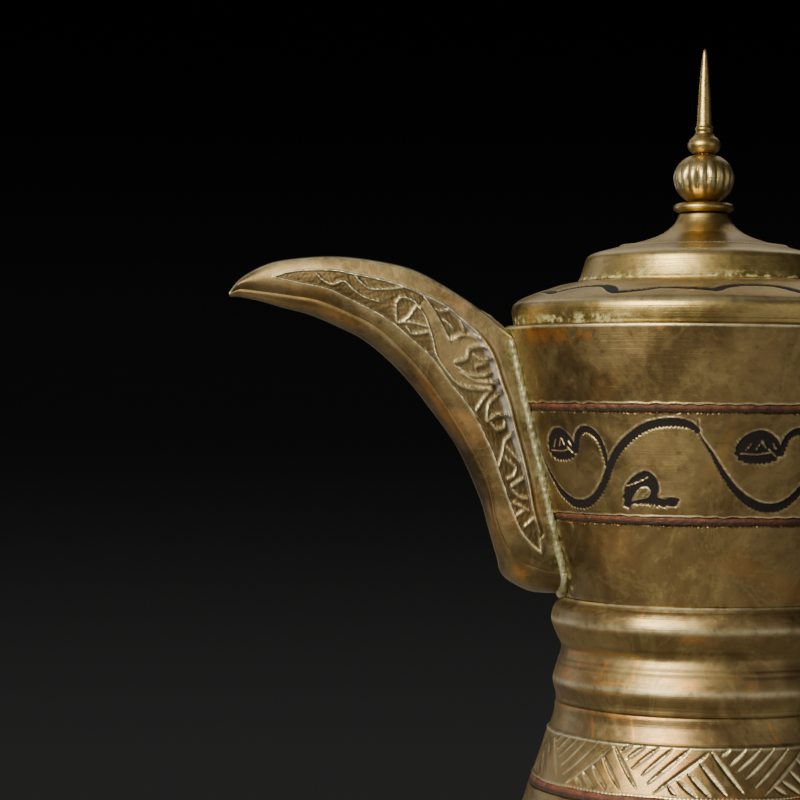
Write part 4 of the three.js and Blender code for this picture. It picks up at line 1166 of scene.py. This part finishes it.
keelMade, keelOuter = keelSheet()
makePiece("spout_keel_round", keelMade, beakBrass, ["spout_keel"])
for word, side in (("left", -1), ("right", 1)):
    cheekMade, cheekOuter = cheekSheet(side)
    makePiece("spout_cheek_chased_" + word, cheekMade, beakBrass, ["spout_cheek_" + word])
    bead = solderBead(cheekOuter, keelOuter, side)
    makePiece("spout_solder_" + word, bead, greySolder, ["spout_seam_" + word])
makePiece("spout_bridge_crowned", bridgeSheet(), beakBrass, ["spout_bridge"])
print("beak made")


# mouth ring inside the rim
ringOuter = float(radiusOf(neckLine, 209)) - pot["wall"] - 0.4
mouthOutline = [
    (57.7, 207.8), (ringOuter - 0.6, 207.8), (ringOuter - 0.1, 208.3), (ringOuter + 0.1, 209.7),
    (ringOuter - 0.2, 210.1), (58, 210.2), (57.6, 209.8), (57.5, 208.2),
]
mouthRing = ringPiece(softLoop(mouthOutline, 4), 300)
makePiece("mouth_ring_turned", mouthRing, potBrass, ["mouth_ring"])


# handle: a cast bar of changing oval section, ending on two riveted plates
handle = {
    "line": [
        (50, 168, 6, 4.4), (60, 176.5, 6, 4.4), (76, 185, 5.4, 4), (95, 185, 6.6, 4.6), (109, 172, 7.8, 5.2),
        (113.5, 152, 8.2, 5.4), (110, 129, 7.6, 5), (99, 108, 6.6, 4.6), (83, 91, 5.6, 4.2), (66, 78, 6, 4.4),
        (50, 68, 6, 4.4),
    ],
    "collars": {"handle_upper_collar": 0.235, "handle_lower_collar": 0.8},
    "pearlPitch": 3.4,
    "chevronPitch": 6.4,
    "shrink": 0.35,
    "length": 235,
    # shares of the length where the chased middle and the two leaf wrapped stretches start and end
    "chased": ((0.30, 0.33), (0.74, 0.71)),
    "leaves": (((0.24, 0.26), (0.32, 0.30)), ((0.72, 0.74), (0.80, 0.78))),
    "borderSide": 0.76,  # how far round to the side the border line runs, as a cosine
}
handleCurve = softCurve(handle["line"], 60)


# Handle skin: centre + thick sin(turn) across the bend + wide cos(turn) sideways, squared off a little, plus extra.
def handleSkin(share, turn, extra=0.0):
    steps = share * (len(handleCurve) - 1)
    at = [np.interp(steps, np.arange(len(handleCurve)), handleCurve[:, i]) for i in range(4)]
    slope = np.gradient(handleCurve[:, :2], axis=0)
    slope /= np.linalg.norm(slope, axis=1, keepdims=True)
    sx, sz = (np.interp(steps, np.arange(len(handleCurve)), slope[:, i]) for i in range(2))
    square = 1 + 0.045 * (1 - np.cos(4 * turn))
    across = (at[3] - handle["shrink"] + extra) * np.sin(turn) * square
    wide = (at[2] - handle["shrink"] + extra) * np.cos(turn) * square
    return np.stack([at[0] - sz * across, wide, at[1] + sx * across], -1)


# 1 along a stretch of the handle, 0 outside it, easing between the pairs of shares at its ends.
def stretchOf(share, ends):
    return ease(*ends[0], share) * ease(*ends[1], share)


# Grip: the skin, plus pearls along its sides, minus chevrons and border lines between them and flutes near its ends.
def handleGrip():
    share = np.linspace(0, 1, 900)[None, :]
    turn = np.linspace(0, math.tau, 72, endpoint=False)[:, None]
    length = share * handle["length"]
    side = np.abs(np.cos(turn))
    pearls = np.abs(np.sin(length * math.pi / handle["pearlPitch"])) * bell(side - 1, 0.035)
    chevron = teeth(length, handle["chevronPitch"], side * 0.9)
    cut = bell(chevron, 0.22) * (side < 0.72)
    border = bell(side - handle["borderSide"], 0.035)
    leaf = sum(stretchOf(share, ends) for ends in handle["leaves"])
    flutes = np.abs(np.sin(turn * 6)) * leaf
    extra = stretchOf(share, handle["chased"]) * (0.30 * pearls - 0.36 * cut - 0.30 * border)
    extra = extra - 0.25 * (1 - flutes) * (leaf > 0.01) * leaf
    grid = trimmed(handleSkin(share, turn, extra), 420, 2.5, True).transpose(1, 0, 2)
    kept = np.linspace(0.06, 0.94, 420)[:, None]
    chased = stretchOf(kept, handle["chased"])
    worn = 0.55 * bell(side.T - 1, 0.05) * chased + 0.2
    soot = 0.55 * bell(side.T - handle["borderSide"], 0.04) * chased
    uv = np.stack(np.broadcast_arrays(kept * handle["length"], turn.T * 6), -1) * millimetre
    return tube(grid, "caps", None, uv, {"worn": worn, "soot": soot})


# Collar: three closed hoops round the handle, each an oval section carried round the skin.
def handleCollar(share):
    turn = np.linspace(0, math.tau, 72, endpoint=False)[:, None]
    section = np.linspace(0, math.tau, 18, endpoint=False)[None, :]
    hoops = []
    for shift, wide, tall in ((-2.9, 1.0, 0.9), (0, 1.7, 1.7), (2.9, 1.0, 0.9)):
        at = share + (shift + wide * np.cos(section)) / handle["length"]
        grid = handleSkin(at + 0 * turn, turn + 0 * section, 0.1 + tall * np.sin(section))
        hoops.append(tube(grid, "wrap", masks={"worn": 0.5 * ease(0.2, 1, np.sin(section)) + 0 * turn}))
    return joined(*hoops)


makePiece("handle_grip_cast", handleGrip(), castBrass, ["handle_grip"])
for name, share in handle["collars"].items():
    makePiece(name + "_hoops", handleCollar(share), castBrass, [name])


# A plate lying on the skin at +X: shares u of a closed outline (y, z) round its middle, lifted by relief(u, turn);
# x = sqrt((skin radius + lift)^2 - y^2). Front rings run out to the edge, the back rings return to the middle.
def skinPad(middle, outline, thick, relief, rings=26):
    turn = np.linspace(0, math.tau, len(outline), endpoint=False)[None, :]
    u = np.r_[np.linspace(0.001, 1, rings), 1.0, np.linspace(1, 0.001, 8)][:, None]
    front = np.r_[np.ones(rings), 0.5, np.zeros(8)][:, None]
    edge = np.sqrt(np.clip(1 - np.clip((u - 0.9) / 0.1, 0, 1) ** 2, 0, 1)) * 0.7 + 0.3
    y, z = u * outline[None, :, 0], middle + u * outline[None, :, 1]
    carved = relief(u, turn, y, z)
    lift = 0.3 + front * (thick * edge + carved * (u < 0.97))
    radius = radiusOf(skinLine, z) + lift
    grid = np.stack([np.sqrt(radius**2 - y**2), y, z], -1)
    masks = {
        "soot": np.clip(-carved * 2.2, 0, 1) * front, "worn": np.clip(carved * 1.6, 0, 0.8) * front + 0.15,
    }
    return tube(grid, "poles", None, flatUv(grid, 1, 2), masks)


# Outline of a block with rounded corners: radius = (|cos|^power + |sin|^power)^(-1 / power), nipped in by lobes.
def roundedBlock(halfWide, halfTall, power=6.0, lobes=0.0, count=160):
    turn = np.linspace(0, math.tau, count, endpoint=False)
    size = (np.abs(np.cos(turn)) ** power + np.abs(np.sin(turn)) ** power) ** (-1 / power)
    size *= 1 - lobes * np.cos(4 * turn) ** 2
    return np.column_stack([halfWide * size * np.cos(turn), halfTall * size * np.sin(turn)])


# Leaf outline with a point above and below: y = half x |cos turn|^1.25, scalloped; z = half x sin turn.
def leafOutline(halfWide, halfTall, count=180):
    turn = np.linspace(0, math.tau, count, endpoint=False)
    wide = np.sign(np.cos(turn)) * np.abs(np.cos(turn)) ** 1.25 * (1 - 0.05 * np.abs(np.sin(5 * turn)))
    return np.column_stack([halfWide * wide, halfTall * np.sin(turn)])


# Relief of the riveted plates: a line near the edge and a ring of four petals.
def plateRelief(u, turn, y, z):
    return -0.3 * bell(u - 0.84, 0.03) + 0.25 * bell(u - 0.45, 0.1) * np.abs(np.sin(4 * turn))


# Relief of the palmette: a midrib, veins that slant down to it, and a line near the edge.
def leafRelief(u, turn, y, z):
    veins = np.abs(np.sin((z - 54) * 0.28 - np.abs(y) * 0.45)) * ease(0, 0.3, u)
    return 0.5 * bell(y, 0.7) + 0.45 * veins - 0.35 * bell(u - 0.9, 0.03)


handlePlate = skinPad(170.5, roundedBlock(8.9, 12.3, 7, 0.03), 1.5, plateRelief)
makePiece("handle_plate_cast", handlePlate, castBrass, ["handle_upper_plate"])
palmette = skinPad(72, leafOutline(12.6, 17.9), 1.3, leafRelief, 34)
makePiece("handle_palmette_cast", palmette, castBrass, ["handle_palmette"])
print("handle made")


# lid: shoulder ring with a black line, stepped crown, finial
lid = {
    "shoulder": [
        (58.1, 211.0), (58.5, 213.4), (58.7, 215.9), (58.25, 217.5), (56.6, 219), (52.3, 221), (47.2, 222.8),
        (44.2, 223.8),
        (41.4, 224.4), (38.9, 224.8), (37.2, 225.05),
    ],
    "crown": [
        (38.3, 225.3), (37.9, 226.1), (37.1, 228.3), (36.4, 230.5), (35.8, 232.2), (34.6, 233.3), (32.4, 234.1),
        (29, 235.0),
        (25.3, 236), (20.7, 237.1), (17.3, 238.1), (14.1, 239.3), (11.5, 240.8), (9.3, 242.7), (8.2, 244.4),
        (7.6, 245.9),
    ],
    "line": [
        (-81, 221.35), (-70, 221.2), (-63, 220.8), (-60, 221.6), (-55, 222.3), (-48, 222.5), (-42.8, 222.3),
        (-39.2, 221.7),
        (-36.4, 220.8), (-33.4, 220.1), (-26.5, 220.6), (-21, 221.35),
    ],
    "lineHalf": [0.9, 1.2, 1.6, 1.5, 1.3, 1.25, 1.4, 1.75, 1.7, 1.1, 0.9, 0.9],
    "repeat": 60,
    "lineDeep": 0.3,
    "toothPitch": 1.2,
    "rope": {"radius": 25.4, "half": 0.55, "turns": 120, "groove": 1.0},
    "rings": (31.5, 30.8, 19, 18.3, 12.5),  # radii of the fine turned lines on the crown
    "flange": [
        (55.9, 206.1), (56.7, 206.1), (57, 206.5), (56.9, 210), (56.7, 215.5), (55.3, 215.5), (55.5, 210),
        (55.7, 206.6),
    ],
}


# Plan view of a point of the lid: (radius x sin of its angle, radius x cos).
def planFlat(degrees, radius):
    turn = np.radians(degrees)
    return radius * np.sin(turn), radius * np.cos(turn)


# Shoulder: its outline spun round, sunk where the black line runs in plan view, with a toothed bright lip beside it.
def lidShoulder():
    profile = softCurve(lid["shoulder"], 14)
    outline = evenLine(profile, 73)
    degrees = np.linspace(-180, 180, 720, endpoint=False)[None, :]
    radius, level = outline[:, :1] + 0 * degrees, outline[:, 1:] + 0 * degrees
    u, v = planFlat(degrees, radius)
    inside, bright = np.full(u.shape, -9.0), np.zeros(u.shape)
    upward = profile[profile[:, 0] < 58][:, ::-1]
    knots = np.array(lid["line"])
    reach = np.interp(knots[:, 1], upward[:, 0], upward[:, 1])
    for start in range(0, 360, lid["repeat"]):
        line = softCurve(np.column_stack([*planFlat(knots[:, 0] + start, reach), lid["lineHalf"]]), 8)
        distance, along, side = nearLine(u, v, line[:, :2])
        width = np.interp(along, lengthTo(line[:, :2]), line[:, 2])
        tooth = teeth(along, lid["toothPitch"])
        outerSide = side > 0
        width = width + np.where(outerSide, 0.16 * (tooth - 0.4), 0)
        inside = np.maximum(inside, width - distance)
        bright = np.maximum(bright, bell(distance - width - 0.3, 0.28) * np.where(outerSide, 0.4 + 0.6 * tooth, 0.3))
    turn = np.radians(degrees)
    lift = -lid["lineDeep"] * ease(-0.12, 0.2, inside) + 0.1 * bright
    lift += 0.07 * np.sin(5 * turn + 0.3 * level) + 0.05 * np.sin(11 * turn + 2)
    lift -= 0.10 * bell(level - 218.35, 0.35) + 0.07 * bell(level - 212.2, 0.3)
    worn = np.maximum(0.75 * bright, 0.5 * bell(level - 217.9, 0.6))
    soot = 0.5 * bell(inside, 0.2) * (inside < 0.1) + 0.5 * bell(level - 211.0, 0.35)
    patch = ease(-0.7, 0.6, np.sin(3 * turn + 4.4) + 0.5 * np.sin(7 * turn) + 0.4 * np.sin(17 * turn))
    bloom = 0.95 * bell(level - 212.4, 1.6) * patch + 0.8 * ease(224.4, 224.75, level)
    masks = {"inlay": np.clip(inside, -1, 1), "worn": worn, "soot": soot, "bloom": bloom}
    grid, caps, uv, masks = spunSheet(outline, degrees, pot["lidWall"], lift, 6, masks)
    return tube(grid, "wrap", None, uv, masks)


# Crown: its outline spun round, with a slanting rope border between two grooves and fine turned lines.
def lidCrown():
    outline = evenLine(softCurve(lid["crown"], 12), 115)
    degrees = np.linspace(-180, 180, 480, endpoint=False)[None, :]
    radius, level = outline[:, :1] + 0 * degrees, outline[:, 1:] + 0 * degrees
    turn = np.radians(degrees)
    border = lid["rope"]
    offRope = radius - border["radius"]
    rope = np.sin(turn * border["turns"] + offRope * 3)
    lift = (0.22 + 0.16 * rope) * bell(offRope, border["half"])
    lift -= 0.12 * bell(offRope + border["groove"], 0.25) + 0.12 * bell(offRope - border["groove"], 0.25)
    lift += 0.05 * np.sin(4 * turn + 1) + 0.03 * np.sin(9 * turn)
    lift -= 0.06 * sum(bell(radius - ring, 0.22) for ring in lid["rings"])
    worn = 0.8 * bell(offRope, 0.5) * (0.5 + 0.5 * rope) + 0.35 * bell(level - 233.3, 0.8)
    soot = 0.45 * (bell(offRope + border["groove"], 0.3) + bell(offRope - border["groove"], 0.3))
    bloom = bell(level - 225.5, 0.45) + 0.45 * bell(level - 226.6, 0.8) * ease(-0.9, 0.6, np.sin(2 * turn + 2.2))
    masks = {"worn": worn, "soot": soot, "bloom": bloom}
    grid, caps, uv, masks = spunSheet(outline, degrees, pot["lidWall"], lift, 6, masks)
    return tube(grid, "wrap", None, uv, masks)


makePiece("lid_shoulder_inlaid", lidShoulder(), lidBrass, ["lid_shoulder"], "lid")
makePiece("lid_crown_turned", lidCrown(), lidBrass, ["lid_crown"], "lid")
lidFlange = ringPiece(softLoop(lid["flange"], 4), 300)
makePiece("lid_flange_turned", lidFlange, lidBrass, ["lid_flange"], "lid")


# A turned piece of the finial: its outer line closed by a straight bore.
def bored(outer, bore=2.3):
    line = softCurve(outer, 8)
    return np.vstack([line, [[bore, line[-1, 1]], [bore, (line[0, 1] + line[-1, 1]) / 2], [bore, line[0, 1]]]])


finial = {
    "bead": [(5.0, 246.6), (7.4, 246.6), (8.9, 247.2), (9.3, 248.05), (8.9, 248.9), (7.4, 249.5), (5.0, 249.5)],
    "knob": [
        (3.4, 250), (4.9, 250.2), (6.4, 251.2), (8.4, 253.4), (9.35, 256.6), (9.1, 259), (7.7, 261.6), (5.4, 263.5),
        (3.2, 264.3),
    ],
    "spire": [
        (0, 240.8), (1.4, 240.8), (1.9, 241.2), (1.95, 252), (1.95, 264), (2.2, 264.75), (3.6, 264.9), (4.7, 266.0),
        (5.1, 267.4), (4.6, 268.8), (3.3, 270.1), (2.7, 271.2), (2.9, 272.4), (2.4, 273.6), (2.2, 277), (1.75, 285),
        (1.1, 292), (0.7, 295.6), (0.35, 296.7), (0, 296.95),
    ],
    "nut": [(2.6, 241.7), (4.4, 241.7), (4.75, 242.0), (4.75, 243.6), (4.4, 243.95), (2.6, 243.95)],
    "gadroons": 18,
    "fluteDeep": 0.75,
    "nutCorner": 4,  # how far the nut's corners and flats part, times its share of radius
}
knobLine = bored(finial["knob"])
aroundKnob = np.linspace(-180, 180, 216, endpoint=False)[None, :]
flute = np.abs(np.sin(np.radians(aroundKnob) * finial["gadroons"] / 2))
belt = bell(knobLine[:, 1:] - 257, 3.6) * (knobLine[:, :1] > 3)
knobMasks = {"soot": 0.7 * (1 - flute) ** 2 * belt, "worn": 0.5 * flute * belt}
nutLine = bored(finial["nut"])
aroundNut = np.radians(np.linspace(-180, 180, 180, endpoint=False))[None, :]
sixSides = math.cos(math.pi / 6) / np.cos((aroundNut + math.pi / 6) % (math.pi / 3) - math.pi / 6)
nutLift = (sixSides - 1) * (nutLine[:, :1] > 3) * finial["nutCorner"]
for name, made, brassKind, slotName, node in (
    ("finial_bead_turned", ringPiece(bored(finial["bead"]), 160), lidBrass, "lid_brass", "finial_collar"),
    ("finial_knob_fluted", ringPiece(knobLine, 216, -finial["fluteDeep"] * (1 - flute) * belt, knobMasks), lidBrass,
     "lid_brass", "finial_knob"),
    ("finial_spire_turned", spunSolid(softCurve(finial["spire"], 6), 72), lidBrass, "lid_brass", "finial_spire"),
    ("finial_nut_sixsided", ringPiece(nutLine, 180, nutLift), castBrass, "cast_brass", "finial_nut"),
):
    makePiece(name, made, brassKind, [node], "lid")
print("lid made")


# hinge: knuckles on a pin, a leaf on the neck and a strap on the lid
hinge = {
    "x": 65.2, "z": 214.3, "knuckle": 3.15, "strapHalf": 2.95, "lug": (3.35, 8.9),
    "pin": 1.5, "head": 2.3, "span": 9.5,
    "foot": [(61.2, 207.5), (62.6, 205.5)],
    "strapTop": [(41.8, 226.7), (47.3, 225.5), (52.8, 223.6), (58, 221.3), (61.6, 219.2), (65, 217.2)],
    "strapWidth": [
        (41.8, 0.5), (42.6, 2.2), (44.5, 4.4), (47, 5.6), (50, 5.2), (55, 5.6), (58.5, 4.8), (61.2, 2.9), (65, 2.9),
    ],
}


# A side view outline (x, z) carried from one y to another, drawn in a little at both ends.
def crossPrism(outline, fromY, toY, bevel=0.35):
    centre = outline.mean(0)
    y = np.array([fromY, fromY + bevel * 0.3, fromY + bevel, toY - bevel, toY - bevel * 0.3, toY])
    reach = np.linalg.norm(outline - centre, axis=1)
    pull = np.array([bevel, bevel * 0.3, 0, 0, bevel * 0.3, bevel])[:, None]
    size = (1 - pull / np.maximum(reach, 1)[None, :])[..., None]
    flat = centre + (outline - centre)[None] * size
    grid = np.stack([flat[..., 0], np.broadcast_to(y[:, None], flat.shape[:2]), flat[..., 1]], -1)
    return tube(grid, "caps", None, flatUv(grid))


def circle(x, z, radius, count=48):
    turn = np.linspace(0, math.tau, count, endpoint=False)
    return np.column_stack([x + radius * np.cos(turn), z + radius * np.sin(turn)])


# Lug: the knuckle's circle drawn down into a foot that stands on the leaf.
def lugOutline():
    knob = circle(hinge["x"], hinge["z"], hinge["knuckle"])
    right, left = knob[44:], knob[:27]
    return evenLine(np.vstack([right, left, hinge["foot"], right[:1]]), 90)[:-1]


# Strap: at share s across it, its ridge height + 0.35 (1 - s^2), with a line cut near each edge, and the knuckle.
def hingeStrap():
    x = np.linspace(41.8, 65.0, 70)
    ridge, half = (np.interp(x, *np.transpose(hinge[name])) for name in ("strapTop", "strapWidth"))

    def layer(count, drop):
        across = np.linspace(-1, 1, count)[:, None]
        lift = -drop + 0.35 * (1 - across**2) - 0.3 * bell(np.abs(across) - 0.8, 0.07) * (x > 43)[None, :]
        return np.stack([x[None] + 0 * across, across * half[None], ridge[None] + lift * (0.9 if drop == 0 else 1)], -1)
    grid, caps = sheetGrid(layer(37, 0.15), layer(10, 1.6))
    strap = tube(grid, "caps", caps, flatUv(grid, 0, 1))
    knuckle = crossPrism(circle(hinge["x"], hinge["z"], hinge["knuckle"]), -hinge["strapHalf"], hinge["strapHalf"])
    return joined(strap, knuckle)


# Pin: a spun solid with a peened head at each end, laid along y.
def hingePin():
    head, span = hinge["head"], hinge["span"]
    half = [
        (0, -span - 1.3), (1.3, -span - 1.25), (head - 0.2, -span - 0.9), (head, -span - 0.45), (head, -span),
        (hinge["pin"], -span),
    ]
    outline = np.array(half + [(r, -y) for r, y in half[::-1]])
    made = spunSolid(outline, 48)
    x, y, z = made["points"].T
    made["points"] = np.column_stack([hinge["x"] + x, z, hinge["z"] + y])
    return shell(made["points"], made["faces"], made["uv"], made["masks"])


leafPlate = skinPad(199.6, roundedBlock(9.9, 9.4, 8, 0.02), 1.5, plateRelief)
lugs = [crossPrism(lugOutline(), *sorted((s * hinge["lug"][0], s * hinge["lug"][1]))) for s in (-1, 1)]
makePiece("hinge_leaf_cast", joined(leafPlate, *lugs), castBrass, ["hinge_body_leaf"])
makePiece("hinge_strap_cast", hingeStrap(), castBrass, ["hinge_lid_leaf"], "lid")
makePiece("hinge_pin_peened", hingePin(), castBrass, ["hinge_pin"])


# Rivet: a domed head outside, a shank, and a flat peened head inside, turned about its own outward direction.
def rivet(place, out, reach):
    low = -reach
    outline = [
        (0, low - 0.75), (1.9, low - 0.7), (2.2, low - 0.4), (2.1, low), (1.25, low), (1.25, -0.2), (2.6, -0.05),
        (2.85, 0.15), (2.7, 0.55), (2.2, 0.95), (1.3, 1.22), (0, 1.3),
    ]
    made = spunSolid(np.array(outline), 40)
    turn = Vector((0, 0, 1)).rotation_difference(Vector(out)).to_matrix()
    points = made["points"] @ np.array(turn).T + np.array(place)
    made["masks"]["worn"] = 0.5 * ease(0.5, 1.3, made["points"][:, 2])
    return shell(points, made["faces"], made["uv"], made["masks"])


# A rivet through a plate on the pot's skin, pointing straight out of it.
def skinRivet(y, z):
    radius = float(radiusOf(skinLine, z)) + 2.3
    slope = float(radiusOf(skinLine, z + 2) - radiusOf(skinLine, z - 2)) / 4
    x = math.sqrt(radius**2 - y**2)
    return rivet((x, y, z), (x / radius, y / radius, -slope), 4.0)


for name, made in {
    "rivet_hinge_left": skinRivet(-6, 196), "rivet_hinge_right": skinRivet(6, 196),
    "rivet_handle_left": skinRivet(-5.6, 162), "rivet_handle_right": skinRivet(5.6, 162),
    "rivet_palmette_left": skinRivet(-6.4, 84), "rivet_palmette_right": skinRivet(6.4, 84),
    "rivet_palmette_low": skinRivet(0, 60),
}.items():
    makePiece(name + "_domed", made, castBrass, [name])
for name, place, out, reach in (
    ("rivet_lid_front", (46, 0, 226.4), (0.27, 0, 1), 5.3), ("rivet_lid_back", (54, 0, 223.7), (0.42, 0, 1), 5.8),
):
    makePiece(name + "_domed", rivet(place, out, reach), castBrass, [name], "lid")
print("hinge and rivets made")


# floor, light, camera
studio = {
    "camera": (-92.9, -769.25, 188.2), "lens": 112.5, "roll": 0.5,
    "floorRadius": 370,
    "floorTones": ((0.44, 0.435, 0.42), (0.40, 0.395, 0.38)),
    "aim": (-0.02, 0, 0.16),  # where the lamps point, in metres
    "lights": {
        # name: place in metres, size, watts, colour
        "keyLeft": ((-0.74, -0.92, 0.70), (0.56, 0.40), 28, (1.0, 0.96, 0.75)),
        "fillRight": ((0.85, -0.9, 0.30), (0.9, 0.9), 1.4, (1.0, 0.97, 0.90)),
        "rimLeft": ((-0.95, 0.75, 0.35), (0.15, 0.9), 1.2, (0.82, 0.88, 1.0)),
        "backTop": ((0.0, 0.85, 1.0), (1.3, 0.8), 2.0, (1.0, 0.98, 0.92)),
    },
    "backdrop": [(-0.16, 0.020), (0.0, 0.0040), (0.16, 0.0003)],  # light seen past the pot at each rise
    "around": 0.045,  # light of the room in front of the pot
    "aboveLeft": 0.25,  # and from its upper left
    "below": 0.07,  # light from low down, past the floor
}


# Floor: a disc just under the base.
def studioFloor():
    turn = np.linspace(0, math.tau, 96, endpoint=False)
    reach = np.linspace(0, studio["floorRadius"], 12)
    grid = np.stack([reach[:, None] * np.cos(turn), reach[:, None] * np.sin(turn), np.full((12, 96), -0.3)], -1)
    made = shell(grid.reshape(-1, 3), [gridQuads(12, 96, False, True)])
    mesh = bpy.data.meshes.new("studioFloor")
    mesh.from_pydata((made["points"] * millimetre).tolist(), [], made["faces"][0][:, ::-1].tolist())
    material, tree = newMaterial("paleFloor")
    place = put(tree, "TexCoord").outputs["Object"]
    tone = blended(tree, between(tree, cloudNoise(tree, place, 6), 0.3, 0.7), *studio["floorTones"])
    surface = put(tree, "BsdfPrincipled", {"Base Color": tone, "Roughness": 0.7})
    put(tree, "OutputMaterial", {"Surface": surface.outputs["BSDF"]})
    mesh.materials.append(material)
    floor = bpy.data.objects.new("studioFloor", mesh)
    bpy.context.scene.collection.objects.link(floor)


studioFloor()
for name, (place, size, watts, colour) in studio["lights"].items():
    lamp = bpy.data.lights.new(name, "AREA")
    lamp.shape, lamp.size, lamp.size_y = "RECTANGLE", *size
    lamp.energy, lamp.color = watts, colour
    lampObject = bpy.data.objects.new(name, lamp)
    lampObject.location = place
    lampObject.rotation_euler = (Vector(studio["aim"]) - Vector(place)).to_track_quat("-Z", "Y").to_euler()
    bpy.context.scene.collection.objects.link(lampObject)

# Room: dark behind the pot and fading upwards, a little lighter in front of it and low down.
room = bpy.data.worlds.new("darkRoom")
room.use_nodes = True
tree = room.node_tree
tree.nodes.clear()
axes = put(tree, "SeparateXYZ", {"Vector": put(tree, "TexCoord").outputs["Generated"]}).outputs
(low, lowLight), (level, levelLight), (high, highLight) = studio["backdrop"]
glow = between(tree, axes["Z"], low, level, lowLight, levelLight)
glow = sums(tree, "ADD", glow, between(tree, axes["Z"], level, high, 0.0, highLight - levelLight))
front = between(tree, axes["Y"], 0.93, 0.1, 0.0, studio["around"])
under = between(tree, axes["Z"], -0.2, -0.34, 0.0, studio["below"])
above = sums(tree, "MULTIPLY", between(tree, axes["Z"], -0.13, 0.14), between(tree, axes["X"], 0.5, -0.2))
above = sums(tree, "MULTIPLY", above, between(tree, axes["Y"], 0.8, 0.2, 0.0, studio["aboveLeft"]))
glow = sums(tree, "ADD", glow, sums(tree, "ADD", above, sums(tree, "MAXIMUM", front, under)))
backdrop = put(tree, "Background", {"Color": (1.0, 0.98, 0.96, 1), "Strength": glow})
put(tree, "OutputWorld", {"Surface": backdrop.outputs["Background"]})
bpy.context.scene.world = room

camera = bpy.data.cameras.new("camera")
camera.lens = studio["lens"]
camera.sensor_width = 36
cameraObject = bpy.data.objects.new("camera", camera)
facing = Matrix.Rotation(math.radians(90), 4, "X") @ Matrix.Rotation(math.radians(studio["roll"]), 4, "Z")
cameraObject.matrix_world = Matrix.Translation(Vector(studio["camera"]) * millimetre) @ facing
bpy.context.scene.collection.objects.link(cameraObject)
bpy.context.scene.camera = cameraObject
print("studio made")
